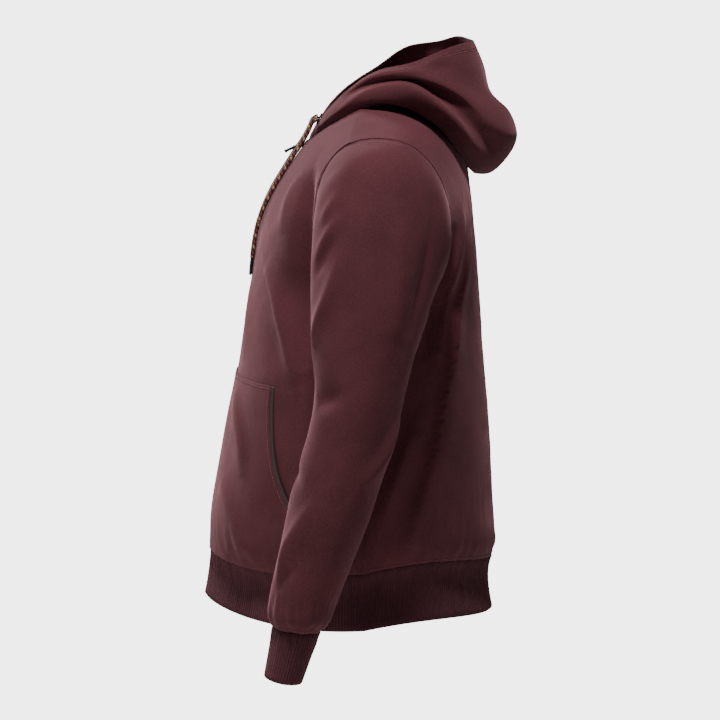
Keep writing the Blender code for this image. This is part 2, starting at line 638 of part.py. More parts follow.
def make_slider(edge, black):
    """The slider at the zip's top end, and the beaded pull that turns in its crown."""
    up = Vector(edge[-1, 0] - edge[-2, 0]).normalized()
    out = Vector((1, 0, 0)).cross(up)
    top = Vector((0, *ZIP_EDGE[-1][1:])) * MM
    frame = aimed(top, out)
    width, length, thick = PLATE
    slider = box("zip_slider", PLATE, (0, -length / 2, PLATE_RISE + thick / 2), black, frame)
    reach = UNDER_DEPTH + UNDER_PLATE
    under = box("slider_under", (width, length, UNDER_PLATE),
                (0, -length / 2, UNDER_PLATE / 2 - reach), black, frame)
    post_height = reach + PLATE_RISE + thick - 0.2
    post = box("slider_post", (POST_WIDTH, POST_LENGTH, post_height),
               (0, -POST_LENGTH / 2 - 0.1, post_height / 2 - reach + 0.1), black, frame)
    crown_place = frame @ (Vector((0, -length / 2, CROWN_RISE)) * MM)
    crown = ring_body("slider_crown", CROWN_RADIUS, CROWN_WIRE, black,
                      Matrix.Translation(crown_place) @ Matrix.Rotation(math.pi / 2, 4, "Y"))
    join_to(slider, (under, post, crown))

    fall = math.radians(PULL_FALL)
    hang = aimed(crown_place, (0, -math.cos(fall), -math.sin(fall)))
    start = 2 * PULL_RING - 0.6
    profile = [(0, start), (1.1, start)]
    for bead in range(BEADS):
        low, radius = start + 0.6 + bead * BEAD_LENGTH, LAST_BEAD_RADIUS if bead == BEADS - 1 else BEAD_RADIUS
        profile += [(BEAD_NECK, low), (radius, low + 0.3 * BEAD_LENGTH), (radius, low + 0.7 * BEAD_LENGTH)]
    profile += [(BEAD_NECK, start + 0.6 + BEADS * BEAD_LENGTH), (0, start + 0.6 + BEADS * BEAD_LENGTH)]
    pull = turned("zip_pull", profile[::-1], black, hang)
    loop_frame = hang @ Matrix.Translation((0, 0, PULL_RING * MM)) @ Matrix.Rotation(math.pi / 2, 4, "X")
    loop = ring_body("pull_ring", PULL_RING, PULL_WIRE, black, loop_frame)
    join_to(pull, (loop,))


def make_drawcord(skin, normals, cord_look, black):
    """On each side an eyelet in the hood's edge, the cord's free end and its tip."""
    hood, out = skin["hood_left"][EYELET_ROW], normals["hood_left"][EYELET_ROW]
    middle, away = Vector((hood[0] + hood[1]) / 2), Vector(out[0] + out[1]).normalized()
    eyelet_place = middle + away * (GAP + EYELET_WIRE)
    knots = chords(CORD)
    route = smooth(CORD, knots, np.linspace(0, knots[-1], CORD_POINTS))
    end, fall = Vector(route[-1]), Vector(route[-1] - route[-3]).normalized()
    tip = [(0, TIP_LENGTH), (TIP_RADIUS * 0.7, TIP_LENGTH), (TIP_RADIUS, TIP_LENGTH - 1.2),
           (TIP_RADIUS, 1), (TIP_RADIUS * 0.8, 0), (0, 0)]
    for side, x in (("left", 1), ("right", -1)):
        flip = Vector((x, 1, 1))
        ring_body("eyelet_" + side, EYELET_RADIUS, EYELET_WIRE, black,
                  aimed(eyelet_place * flip * MM, away * flip))
        curve = bpy.data.curves.new("drawcord_" + side, "CURVE")
        curve.dimensions = "3D"
        curve.bevel_depth = CORD_RADIUS * MM
        curve.bevel_resolution = 2
        curve.use_fill_caps = True
        line = curve.splines.new("POLY")
        line.points.add(len(route) - 1)
        for point, place in zip(line.points, route):
            point.co = (*(Vector(place) * flip * MM), 1)
        curve.materials.append(cord_look)
        PARTS.objects.link(bpy.data.objects.new("drawcord_" + side, curve))
        turned("cord_tip_" + side, tip, black, aimed((end + fall * GAP) * flip * MM, fall * flip))


for thing in list(bpy.data.objects):
    bpy.data.objects.remove(thing)
PARTS = bpy.data.collections.new("zip_up_hoodie")
CUTTERS = bpy.data.collections.new("cutters")
bpy.context.scene.collection.children.link(PARTS)
bpy.context.scene.collection.children.link(CUTTERS)

cloth = paint("burgundy jersey", (0.075, 0.022, 0.027), 0.9)
rib = paint("burgundy rib", (0.060, 0.017, 0.021), 0.9)
trim = paint("grey-brown tape", (0.035, 0.026, 0.024), 0.9)
cord_look = paint("flecked braid", (0.090, 0.040, 0.020), 0.85)
black = paint("black plastic", (0.008, 0.008, 0.009), 0.45)
skin = build_skin()
skin = pressed(skin, skin_normals(skin))
normals = skin_normals(skin)
make_cloth(skin, normals, cloth, rib)
make_pockets(skin, normals, cloth, trim)
edge = make_zip(skin, normals, black, rib)
make_slider(edge, black)
make_drawcord(skin, normals, cord_look, black)
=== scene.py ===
"""A zip-up hoodie, worn and filled out, with nobody in it.

The front faces -Y, the wearer's left is +X and +Z is up. Sizes are in millimetres until a mesh is made.
"""
import json
import math

import bmesh
import bpy
import numpy as np
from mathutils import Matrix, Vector, noise

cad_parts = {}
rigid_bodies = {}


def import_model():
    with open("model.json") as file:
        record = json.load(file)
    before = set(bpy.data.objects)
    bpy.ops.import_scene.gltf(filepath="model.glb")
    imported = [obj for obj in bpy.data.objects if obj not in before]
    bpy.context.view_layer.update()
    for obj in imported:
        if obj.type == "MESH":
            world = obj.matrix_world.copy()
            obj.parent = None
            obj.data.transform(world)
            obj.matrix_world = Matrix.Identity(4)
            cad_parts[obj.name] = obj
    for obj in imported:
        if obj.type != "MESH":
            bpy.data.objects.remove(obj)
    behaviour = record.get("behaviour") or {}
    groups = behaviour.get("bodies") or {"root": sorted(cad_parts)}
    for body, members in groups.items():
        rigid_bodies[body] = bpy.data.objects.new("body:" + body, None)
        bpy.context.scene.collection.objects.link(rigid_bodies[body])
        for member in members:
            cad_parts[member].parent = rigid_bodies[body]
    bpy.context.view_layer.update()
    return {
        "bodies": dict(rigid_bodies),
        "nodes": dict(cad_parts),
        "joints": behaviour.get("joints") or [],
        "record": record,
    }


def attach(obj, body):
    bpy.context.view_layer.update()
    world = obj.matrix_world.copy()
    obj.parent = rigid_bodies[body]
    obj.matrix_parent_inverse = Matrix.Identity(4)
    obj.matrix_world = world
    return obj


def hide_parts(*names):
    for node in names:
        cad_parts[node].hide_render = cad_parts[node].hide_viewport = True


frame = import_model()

MM = 0.001

# ---- Camera and studio -------------------------------------------------------------------------
# A long lens looks at the wearer's left side from a little above. The floor is pale and lies well
# below the garment, which hangs in the air as it does on a wearer. One soft box hangs in front, and
# one above the shoulder, so that the sleeve shades the hollow in front of it. A weak one lies low.
CAMERA_DISTANCE, CAMERA_RISE = 4.5, 8.0
CAMERA_AIM = Vector((0, -0.016, -0.355))
CAMERA_LENS, SENSOR_WIDTH = 169.2, 36
FLOOR_HEIGHT, FLOOR_REACH = -1.25, 9
STUDIO_WHITE = 4.5      # how bright the backdrop and the floor look to the camera
STUDIO_FILL = 0.05      # how much light the backdrop gives


def linear(hex_colour):
    """An sRGB hex colour as linear red, green, blue and alpha."""
    channels = [int(hex_colour[i:i + 2], 16) / 255 for i in (1, 3, 5)]
    return (*[c / 12.92 if c <= 0.04045 else ((c + 0.055) / 1.055) ** 2.4 for c in channels], 1)


def add(tree, kind, inputs=None, **settings):
    """A node with its settings, and with values or links on its inputs."""
    node = tree.nodes.new(kind)
    for name, value in settings.items():
        setattr(node, name, value)
    for socket, value in (inputs or {}).items():
        if isinstance(value, bpy.types.NodeSocket):
            tree.links.new(value, node.inputs[socket])
        else:
            node.inputs[socket].default_value = value
    return node


def in_scene(name, data):
    """A new object in the scene, with its mesh, light or camera."""
    thing = bpy.data.objects.new(name, data)
    bpy.context.scene.collection.objects.link(thing)
    return thing


def new_look(name, values):
    """A new material, its node tree, and its shader with values set on its own sockets."""
    look = bpy.data.materials.new(name)
    look.use_nodes = True
    shader = look.node_tree.nodes["Principled BSDF"]
    for socket, value in values.items():
        shader.inputs[socket].default_value = value
    return look, look.node_tree, shader


def soft_box(name, place, aim, size, power):
    """A square area light that looks at a point."""
    lamp = bpy.data.lights.new(name, "AREA")
    lamp.size = size
    lamp.energy = power
    box = in_scene(name, lamp)
    box.location = place
    box.rotation_euler = (Vector(aim) - Vector(place)).to_track_quat("-Z", "Y").to_euler()


def white_to_camera(tree, white, lit, output):
    """Show the camera a plain white shader, and light the scene by another, at a tree's output node."""
    rays = add(tree, "ShaderNodeLightPath")
    mixed = add(tree, "ShaderNodeMixShader",
                {"Fac": rays.outputs["Is Camera Ray"], 1: lit.outputs[0], 2: white.outputs[0]})
    tree.links.new(mixed.outputs[0], tree.nodes[output].inputs["Surface"])


rise = math.radians(CAMERA_RISE)
camera = in_scene("camera", bpy.data.cameras.new("camera"))
bpy.context.scene.camera = camera
camera.data.lens = CAMERA_LENS
camera.data.sensor_width = SENSOR_WIDTH
camera.location = CAMERA_AIM + Vector((math.cos(rise), 0, math.sin(rise))) * CAMERA_DISTANCE
camera.rotation_euler = (CAMERA_AIM - camera.location).to_track_quat("-Z", "Y").to_euler()

soft_box("front", (-1.9, -1.9, 1.3), (0, 0, -0.3), 0.8, 82)
soft_box("side", (1.15, -0.1, 2.7), (0, 0, -0.2), 0.4, 118)
soft_box("low front", (1.5, -2.2, -0.9), (0.1, 0, -0.6), 0.5, 9)

world = bpy.data.worlds.new("studio")
bpy.context.scene.world = world
world.use_nodes = True
fill = world.node_tree.nodes["Background"]
fill.inputs["Color"].default_value = (1, 1, 1, 1)
fill.inputs["Strength"].default_value = STUDIO_FILL
backdrop = add(world.node_tree, "ShaderNodeBackground", {"Color": (1, 1, 1, 1), "Strength": STUDIO_WHITE})
white_to_camera(world.node_tree, backdrop, fill, "World Output")

floor_mesh = bpy.data.meshes.new("floor")
floor_mesh.from_pydata([(x * FLOOR_REACH, y * FLOOR_REACH, FLOOR_HEIGHT)
                        for x, y in ((-1, -1), (1, -1), (1, 1), (-1, 1))], [], [(0, 1, 2, 3)])
floor = in_scene("floor", floor_mesh)
floor_look, tree, shader = new_look("pale_floor", {"Base Color": linear("#F4F3F2"), "Roughness": 0.8})
glow = add(tree, "ShaderNodeEmission", {"Strength": STUDIO_WHITE})
white_to_camera(tree, glow, shader, "Material Output")
floor_mesh.materials.append(floor_look)

# ---- Drawcord ----------------------------------------------------------------------------------
# A round polyester braid of 6.6 mm, black and burgundy with orange and straw flecks, woven from
# sixteen yarns. It runs in the hood's face edge, and its free ends come out of two eyelets.
CORD_RADIUS = 3.3
CORD = (
    (27, -72, -32.6), (27.5, -78, -36), (28.3, -83, -46.5), (29.2, -91.2, -61.5), (30, -102.2, -78),
    (30.6, -110.3, -90.5), (31.2, -119, -104.5), (32.3, -133.7, -129.5), (33, -145.7, -156.5),
    (33, -150.4, -171), (32.5, -153.6, -185.5), (31.5, -157.6, -214))
YARNS, YARN_TURN, YARN_RADIUS = 8, 15.0, 0.95     # yarns each way, the length of a turn, a yarn's radius
YARN_INSET, YARN_WEAVE, YARN_STEP, YARN_SIDES = 0.1, 0.22, 0.8, 6
ROUTE_POINTS = 60
# The yarns' colours round the braid, one way and the other: 0 black, 1 burgundy, 2 orange, 3 straw.
RIGHT_HAND_YARNS = (0, 1, 3, 3, 1, 0, 2, 1)
LEFT_HAND_YARNS = (1, 0, 0, 1, 0, 1, 0, 0)


def smooth(points, knots, places):
    """Read a smooth curve through points, which lie at the given knots, at each of the places."""
    points, knots = np.asarray(points, float), np.asarray(knots, float)
    gap = np.diff(knots).reshape(-1, *[1] * (points.ndim - 1))
    slope = np.diff(points, axis=0) / gap
    inner = (slope[1:] * gap[:-1] + slope[:-1] * gap[1:]) / (gap[:-1] + gap[1:])
    tangent = np.concatenate([1.5 * slope[:1] - 0.5 * inner[:1], inner, 1.5 * slope[-1:] - 0.5 * inner[-1:]])
    places = np.asarray(places, float)
    i = np.clip(np.searchsorted(knots, places, side="right") - 1, 0, len(knots) - 2)
    h = gap[i]
    t = (places - knots[i]).reshape(h.shape) / h
    return ((2 * t**3 - 3 * t**2 + 1) * points[i] + (t**3 - 2 * t**2 + t) * h * tangent[i]
            + (3 * t**2 - 2 * t**3) * points[i + 1] + (t**3 - t**2) * h * tangent[i + 1])


def chords(points):
    """Knots for a curve: the running distance through its points."""
    lengths = np.linalg.norm(np.diff(np.asarray(points, float), axis=0), axis=-1)
    return np.concatenate([[0], np.cumsum(lengths)])


def read_at(places, knots, points):
    """Points read in straight lines between their knots, at each of the places."""
    return np.stack([np.interp(places, knots, axis) for axis in points.T], axis=-1)


def unit(vectors):
    """Each vector at length one."""
    return vectors / np.maximum(np.linalg.norm(vectors, axis=-1, keepdims=True), 1e-9)


def across(path):
    """Two directions across a path, at each of its points."""
    tangent = unit(np.gradient(path, axis=0))
    side = unit(np.cross(tangent, (0.0, 0.3, 1.0)))
    return side, np.cross(side, tangent)


def joined(pieces):
    """Several pieces of points and faces as one."""
    points, faces, start = [], [], 0
    for more, new in pieces:
        points.append(more)
        faces += [tuple(corner + start for corner in face) for face in new]
        start += len(more)
    return np.concatenate(points), faces


def plain_mesh(name, points, faces, look, uvs=None):
    """An object from points in millimetres and faces, with a UV pair for each corner of each face."""
    mesh = bpy.data.meshes.new(name)
    mesh.from_pydata((np.asarray(points) * MM).tolist(), [], faces)
    mesh.shade_smooth()
    mesh.materials.append(look)
    if uvs is not None:
        mesh.uv_layers.new(name="cloth").data.foreach_set("uv", np.asarray(uvs, np.float32).ravel())
    return in_scene(name, mesh)


def tube_mesh(path, radius, sides):
    """Points and faces of a tube with closed ends round a path, in millimetres."""
    side, up = across(path)
    angles = np.linspace(0, 2 * math.pi, sides, endpoint=False)
    radius = np.broadcast_to(radius, len(path))[:, None, None]
    points = path[:, None] + radius * (np.cos(angles)[None, :, None] * side[:, None]
                                       + np.sin(angles)[None, :, None] * up[:, None])
    count = len(path)
    faces = []
    for i in range(count - 1):
        for j in range(sides):
            here, beside = i * sides + j, i * sides + (j + 1) % sides
            faces.append((here + sides, beside + sides, beside, here))
    faces += [tuple(range(sides)), tuple(range(count * sides - 1, (count - 1) * sides - 1, -1))]
    return points.reshape(-1, 3), faces


def specks(tree, scale, detail=2.0):
    """Noise through an object: so many specks to a metre."""
    where = add(tree, "ShaderNodeTexCoord")
    return add(tree, "ShaderNodeTexNoise", {"Vector": where.outputs["Object"], "Scale": scale,
                                            "Detail": detail}).outputs["Fac"]


def relief(tree, shader, height, strength, distance):
    """Raise and sink a shader's surface by a height."""
    bump = add(tree, "ShaderNodeBump", {"Height": height, "Strength": strength, "Distance": distance})
    tree.links.new(bump.outputs["Normal"], shader.inputs["Normal"])


def braid_yarn(name, colour, sheen=0.2):
    """Twisted polyester yarn: a matt, slightly silky thread."""
    look, tree, shader = new_look(name, {"Base Color": linear(colour), "Roughness": 0.6,
                                         "Sheen Weight": sheen})
    relief(tree, shader, specks(tree, 2500.0), 0.5, 0.0002)
    return look


def fitted(piece, slot, *nodes):
    """Put a piece on the garment, in its solid's place."""
    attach(piece, "garment")
    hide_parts(*nodes)


knots = chords(CORD)
cord_length = float(knots[-1])
route = smooth(CORD, knots, np.linspace(0, cord_length, ROUTE_POINTS))
yarn_looks = [braid_yarn("black_yarn", "#120D0D"), braid_yarn("burgundy_yarn", "#6A1A28"),
              braid_yarn("orange_yarn", "#A8461C"), braid_yarn("straw_yarn", "#C39A5A")]


def braid(name, line):
    """A round braid along a line: yarns wind both ways and pass over and under each other."""
    length = chords(line)
    places = np.linspace(0, length[-1], int(length[-1] / YARN_STEP))
    path = read_at(places, length, line)
    side, up = across(path)
    yarns, looks = [], []
    for hand, colours in ((1, RIGHT_HAND_YARNS), (-1, LEFT_HAND_YARNS)):
        for yarn, colour in enumerate(colours):
            angle = hand * 2 * math.pi * places / YARN_TURN + 2 * math.pi * yarn / YARNS
            crossing = hand * np.cos(YARNS / 2 * 2 * math.pi * places / YARN_TURN + math.pi * yarn)
            away = (CORD_RADIUS - YARN_RADIUS - YARN_INSET + YARN_WEAVE * crossing)[:, None]
            yarn_line = path + away * (np.cos(angle)[:, None] * side + np.sin(angle)[:, None] * up)
            yarns.append(tube_mesh(yarn_line, YARN_RADIUS, YARN_SIDES))
            looks += [colour] * len(yarns[-1][1])
    piece = plain_mesh(name, *joined(yarns), yarn_looks[0])
    for look in yarn_looks[1:]:
        piece.data.materials.append(look)
    piece.data.polygons.foreach_set("material_index", looks)
    return piece


for side, flip in (("left", 1), ("right", -1)):
    line = route * (flip, 1, 1)
    drawcord = braid("drawcord_braid_" + side, line)
    fitted(drawcord, "braid", "drawcord_" + side)

# ---- Cord tips ---------------------------------------------------------------------------------
# A smooth black plastic tip, crimped on each free end of the drawcord: 24 mm long and 5 mm thick.
ROUND_SIDES = 20      # sides of a tube that is to look round
# Distance along the tip, and its radius there.
TIP_PROFILE = ((0.3, 2.1), (0.9, 2.5), (2.0, 2.5), (2.6, 2.3), (3.2, 2.5), (4.4, 2.5), (5.0, 2.3),
               (5.6, 2.5), (12, 2.45), (20, 2.3), (22.6, 2.1), (23.6, 1.6), (24.0, 0.7))


def moulded_black(name, roughness):
    """Moulded black plastic: an even dark gloss with the faintest flow marks."""
    look, tree, shader = new_look(name, {"Base Color": linear("#131214")})
    marks = specks(tree, 900.0)
    gloss = add(tree, "ShaderNodeMapRange",
                {"Value": marks, "To Min": roughness - 0.06, "To Max": roughness + 0.06})
    tree.links.new(gloss.outputs["Result"], shader.inputs["Roughness"])
    relief(tree, shader, marks, 0.15, 0.0001)
    return look


black_plastic = moulded_black("moulded_black_plastic", 0.38)
direction = unit(route[-1] - route[-3])
tip_places, tip_radii = np.array(TIP_PROFILE).T
for side, flip in (("left", 1), ("right", -1)):
    points, faces = tube_mesh(route[-1] + direction * tip_places[:, None], tip_radii, ROUND_SIDES)
    tip = plain_mesh("tip_" + side, points * (flip, 1, 1),
                     faces if flip > 0 else [face[::-1] for face in faces], black_plastic)
    fitted(tip, "black_plastic", "cord_tip_" + side)
    line = route * (flip, 1, 1)

# ---- Eyelets -----------------------------------------------------------------------------------
# A black lacquered brass eyelet on each side of the hood's face edge, which lets the cord out.
EYELET_RADIUS, EYELET_WIRE = 5.8, 0.8


def lacquered_black(name):
    """Black lacquer on brass or zinc: a smooth satin coat."""
    look = moulded_black(name, 0.3)
    shader = look.node_tree.nodes["Principled BSDF"]
    shader.inputs["Metallic"].default_value = 0.35
    shader.inputs["Coat Weight"].default_value = 0.4
    shader.inputs["Coat Roughness"].default_value = 0.2
    return look


def ring_mesh(radius, wire, around=48, sides=12):
    """Points and faces of a ring of wire about z."""
    turn, roll = np.meshgrid(np.arange(around) * 2 * math.pi / around,
                             np.arange(sides) * 2 * math.pi / sides, indexing="ij")
    reach = radius + wire * np.cos(roll)
    points = np.stack([reach * np.cos(turn), reach * np.sin(turn), wire * np.sin(roll)], axis=-1)
    faces = [(i * sides + j, (i + 1) % around * sides + j, (i + 1) % around * sides + (j + 1) % sides,
              i * sides + (j + 1) % sides) for i in range(around) for j in range(sides)]
    return points.reshape(-1, 3), faces


def node_frame(node):
    """The middle of a solid in millimetres, and its three axes with the thinnest last."""
    points = np.array([vertex.co for vertex in bpy.data.objects[node].data.vertices]) / MM
    middle = (points.min(axis=0) + points.max(axis=0)) / 2
    axes = np.linalg.svd(points - points.mean(axis=0), full_matrices=False)[2]
    return middle, axes


black_lacquer = lacquered_black("black_lacquered_brass")
for side in ("left", "right"):
    middle, axes = node_frame("eyelet_" + side)
    points, faces = ring_mesh(EYELET_RADIUS, EYELET_WIRE)
    if np.linalg.det(axes) < 0:
        axes[0] *= -1
    eyelet = plain_mesh("eyelet_ring_" + side, middle + points @ axes, faces, black_lacquer)
    fitted(eyelet, "black_metal", "eyelet_" + side)

# ---- Fronts and back ---------------------------------------------------------------------------
# Two fronts and a one-piece back of heavy brushed sweatshirt jersey, 2 mm thick, sewn at the side and
# at a shoulder seam that lies a little forward, and gathered slightly onto the hem's rib.
WALL = 2.0
CLOTH_STEP = 4.0      # the mesh's pitch on the cloth
FOLD_CREST, FOLD_POINTS = 1.6, 48       # a crest of 2 is a round fold, and 1 a sharp crease
WAVE_SIZES = (60.0, 24.0)         # the slow unevenness of worn cloth, in two sizes
SEAM_HOLD = 16.0                  # how far from a seam the cloth is held by it
EASE_ROUNDS = 60
WAVES_A_METRE = math.pi / 10      # the wave texture's scale for one wave in each unit of length
WALE_PITCH = 1.4
# Puckers are short across the cloth and long down it, in two sizes.
PUCKER_SIZE, SMALL_PUCKER_SIZE = np.array((9.0, 9.0, 70.0)), np.array((5.0, 5.0, 60.0))
# The armhole seam's allowance is turned into the body, so the body steps down to the sleeve there.
SEAM_RAISE, SEAM_SINK, SEAM_REACH = 1.0, -1.1, 9.0
BODY_GATHER = (3.0, 34.0)         # the rise and reach of the puckers at the hem's seam
HEM_BOTTOM, HEM_SEAM, UNDERARM, NECK_CORNER, SHOULDER = 0, 1, 8, 12, 14
POCKET_TOP = 6
LEVELS = (0, 68, 80, 130, 190, 250, 310, 378, 446, 500, 545, 595, 640, 675, 715)
STEPS = tuple(math.ceil((high - low) / CLOTH_STEP) for low, high in zip(LEVELS, LEVELS[1:]))

# The zip edge, a row for each level up to the corner of the neck: x, y, z.
ZIP_EDGE = (
    (4, -224, -668), (4, -215.5, -605), (4, -215.5, -594), (4, -212, -545), (4, -201, -485),
    (4, -190.5, -425), (4, -178, -368), (4, -168.5, -301), (4, -157, -232), (4, -149, -176),
    (4, -135, -138), (4, -108, -95), (4, -84, -63))
# The middle of the back, up to the neck.
BACK_MIDDLE = (
    (0, 160.5, -686), (0, 160, -616), (0, 164.5, -607), (0, 161.5, -560), (0, 159, -503),
    (0, 155.5, -443), (0, 151, -382), (0, 145.5, -318), (0, 141, -252), (0, 136, -196),
    (0, 130, -144), (0, 125, -92), (0, 89, -38))
# The side seam, from the hem's bottom to the underarm.
SIDE_SEAM = (
    (190, -10, -681), (189, -10, -607), (194, -10, -597), (198, -9, -548), (200, -8, -488),
    (200, -6, -430), (199, -3, -372), (195, 4, -312), (188, 14, -257))
# The armhole, from the underarm up the front to the shoulder seam, then down the back.
ARMHOLE = (
    (188, 14, -257), (184, -42, -224), (181, -66, -174), (183, -70, -128), (190, -62, -88),
    (203, -46, -63), (213, -29, -50), (221, 44, -50), (203, 84, -92), (190, 97, -143),
    (188, 90, -190), (186, 62, -234))
# The neckline, from the corner at the zip past the shoulder seam to the middle of the back.
NECKLINE = ((4, -84, -63), (52, -56, -38), (81, -15, -15), (74, 47, -12), (0, 89, -38))

# How each section of a front leaves the zip edge or neckline and reaches the side or armhole.
FRONT_HANDLES = (
    # leaves by          reaches from
    ((66, 8, -8), (-2, -112, -8)), ((76, 4, -8), (0, -107, -10)), ((84, 0, -7), (3, -110, -7)),
    ((90, 0, -2), (5, -112, -2)), ((94, 0, 0), (4, -110, 0)), ((96, 0, 0), (3, -106, 0)),
    ((98, -2, 0), (1, -102, 0)), ((100, -3, 0), (0, -104, 2)), ((100, -3, 0), (-2, -97, 4)),
    ((92, -3, 0), (-2, -66, 5)), ((80, -2, 0), (-12, -47, 8)), ((66, -2, 4), (-30, -28, 14)),
    ((60, -6, 4), (-40, -16, 16)), ((45, -4, -6), (-45, -4, 10)), ((44, -4, -10), (-42, 2, 9)))
BACK_HANDLES = (
    ((95, 2, 1), (2, 100, 22)), ((95, 2, 2), (2, 98, 27)), ((98, 3, 2), (3, 104, 25)),
    ((100, 4, 12), (4, 106, 12)), ((100, 4, 8), (4, 106, 6)), ((100, 4, 4), (3, 104, 3)),
    ((98, 4, 2), (1, 102, 0)), ((98, 4, 0), (-1, 98, 2)), ((98, 4, 0), (-3, 86, 5)),
    ((98, 4, 0), (-4, 54, 6)), ((92, 4, 2), (-12, 32, 10)), ((76, 6, 2), (-36, 16, 14)),
    ((66, 14, 0), (-52, 8, 16)), ((44, 6, -2), (-48, 2, 10)), ((44, -4, -10), (-42, 2, 9)))
FRONT_COLUMNS, POCKET_COLUMNS = 76, 40
# Where the pocket's open edge crosses each level, as a share of the front's width.
POCKET_EDGE = (0.80, 0.80, 0.80, 0.72, 0.58, 0.53) + (0.50,) * 9
FRONT_CUT, FRONT_AREA = (0.33, 0.66), 0.16
BACK_CUT, BACK_AREA = (0.66, 0.70), 0.36

# The folds of the wearer's left, which the right repeats a little differently. Each one is raised, or
# sunk where its rise is below nothing, along a line of points on the cloth, and falls away over one
# width to the left of the line's run and another to its right.
FRONT_FOLDS = (
    # rise, left, right, line
    (11.0, 22, 10, ((87, -141, -219), (112, -128, -244), (145, -115, -296), (169, -97, -370))),
    (5.0, 18, 14, ((139, -85, -93), (120, -103, -120), (125, -114, -149), (130, -118, -175))),
    (-20.0, 20, 15, ((152, -79, -80), (163, -83, -126), (167, -88, -177), (163, -86, -229),
                     (165, -82, -280), (176, -80, -350))),
    (3.0, 18, 14, ((20, -160, -232), (45, -163, -290), (62, -166, -350))),
    (7.0, 16, 20, ((53, -198, -505), (110, -172, -560), (132, -155, -602))),
    (6.5, 12, 18, ((47, -178, -388), (99, -171, -446), (117, -167, -496))))
BACK_FOLDS = (
    (12.0, 24, 8, ((114, 124, -159), (137, 106, -257), (152, 100, -327), (167, 87, -403),
                   (178, 74, -472), (187, 55, -536), (190, 42, -584))),
    (9.0, 16, 8, ((140, 116, -138), (162, 108, -190), (166, 99, -256), (176, 82, -340))),
    (-11.0, 12, 12, ((168, 104, -150), (176, 92, -215), (178, 80, -270), (182, 68, -340))),
    (10.0, 20, 8, ((188, 54, -409), (196, 31, -469), (198, 10, -527), (198, -13, -569))),
    (-9.0, 14, 12, ((150, 95, -350), (170, 72, -440), (184, 44, -520))))


def spread(knots, steps):
    """Places with a given number of even steps between each knot and the next."""
    parts = [np.linspace(a, b, n, endpoint=False) for a, b, n in zip(knots, knots[1:], steps)]
    return np.append(np.concatenate(parts), knots[-1])


def steps_between(first, last):
    """Mesh levels from one row of LEVELS to another."""
    return spread(LEVELS[first:last + 1], STEPS[first:last])


def mirrored(grid):
    """The same piece on the wearer's right, its columns reversed so that it still faces out."""
    return (grid * (-1, 1, 1))[:, ::-1]


def along(points, first, last):
    """A border curve at the mesh levels between two rows."""
    knots = chords(points)
    rows = np.interp(steps_between(first, last), LEVELS[first:last + 1], knots)
    return smooth(points, knots, rows)


def armhole_loop():
    """The armhole's mesh points, up the front and down the back, and their turns round it."""
    loop = np.asarray(ARMHOLE[-2:] + ARMHOLE + ARMHOLE[:2], float)
    knots = chords(loop)
    steps = STEPS[UNDERARM:SHOULDER]
    places = spread(range(2, 3 + len(ARMHOLE)), steps + steps[::-1])[:-1]
    return smooth(loop, knots, np.interp(places, range(len(loop)), knots)), (places - 2) / len(ARMHOLE)


def neckline(places):
    """The neckline from the zip corner, at 0, to the middle of the back, at 8."""
    (x, y, z) = NECKLINE[-2]
    points = NECKLINE + ((-x, y, z),)
    knots = chords(points)
    return smooth(points, knots, np.interp(np.asarray(places) / 2, range(len(knots)), knots))


def section(start, leave, reach, end, shares):
    """One section of the body from the middle to the side, read at shares of its length."""
    t = np.linspace(0, 1, 257)[:, None]
    curve = ((1 - t)**3 * start + 3 * (1 - t)**2 * t * (start + leave)
             + 3 * (1 - t) * t**2 * (end + reach) + t**3 * end)
    length = chords(curve)
    return read_at(shares * length[-1], length, curve)


def half_body(middle, side, handles, shares_of):
    """A front, or half the back: a row of points for each mesh level, at that level's shares of the width."""
    levels = steps_between(HEM_BOTTOM, SHOULDER)
    leave, reach = (smooth([row[i] for row in handles], LEVELS, levels) for i in (0, 1))
    return np.array([section(middle[i], leave[i], reach[i], side[i], shares_of(level))
                     for i, level in enumerate(levels)])


def surface_normals(grid, tube=False):
    """The outward normal at each point of a grid."""
    rows = np.gradient(grid, axis=0)
    if tube:
        wrapped = np.concatenate([grid[:, -1:], grid, grid[:, :1]], axis=1)
        columns = (wrapped[:, 2:] - wrapped[:, :-2]) / 2
    else:
        columns = np.gradient(grid, axis=1)
    return unit(np.cross(columns, rows))


def fold_rise(points, normals, folds, flip, vary):
    """How far each point of a grid is moved out by the folds, which vary a little from side to side."""
    total = np.zeros(points.shape[:-1])
    for number, (rise, left, right, line) in enumerate(folds):
        line = np.array(line, float)
        change = 1 + vary * math.sin(3.7 * number + 1.3)
        line[:, 2] += 60 * vary * math.sin(2.3 * number + 0.4)
        path = smooth(line, chords(line), np.linspace(0, chords(line)[-1], FOLD_POINTS)) * (flip, 1, 1)
        offset = points[..., None, :] - path
        distance = np.linalg.norm(offset, axis=-1)
        nearest = distance.argmin(axis=-1)
        away = np.take_along_axis(distance, nearest[..., None], axis=-1)[..., 0]
        run = unit(np.gradient(path, axis=0))[nearest]
        to_point = np.take_along_axis(offset, nearest[..., None, None], axis=-2)[..., 0, :]
        on_left = flip * (np.cross(normals, run) * to_point).sum(axis=-1) > 0
        width = np.where(on_left, left, right) * change
        end = np.sin(np.pi * np.clip(nearest / (len(path) - 1), 0.02, 0.98))**0.7
        total += rise * change * end * np.exp(-(away / width)**FOLD_CREST)
    return total


def soft_waves(points, size, seed):
    """A slow unevenness between -1 and 1, as worn cloth has. The size may differ along x, y and z."""
    flat = (points / size).reshape(-1, 3)
    values = [noise.noise(Vector((x + seed, y, z))) for x, y, z in flat]
    return np.array(values).reshape(points.shape[:-1])


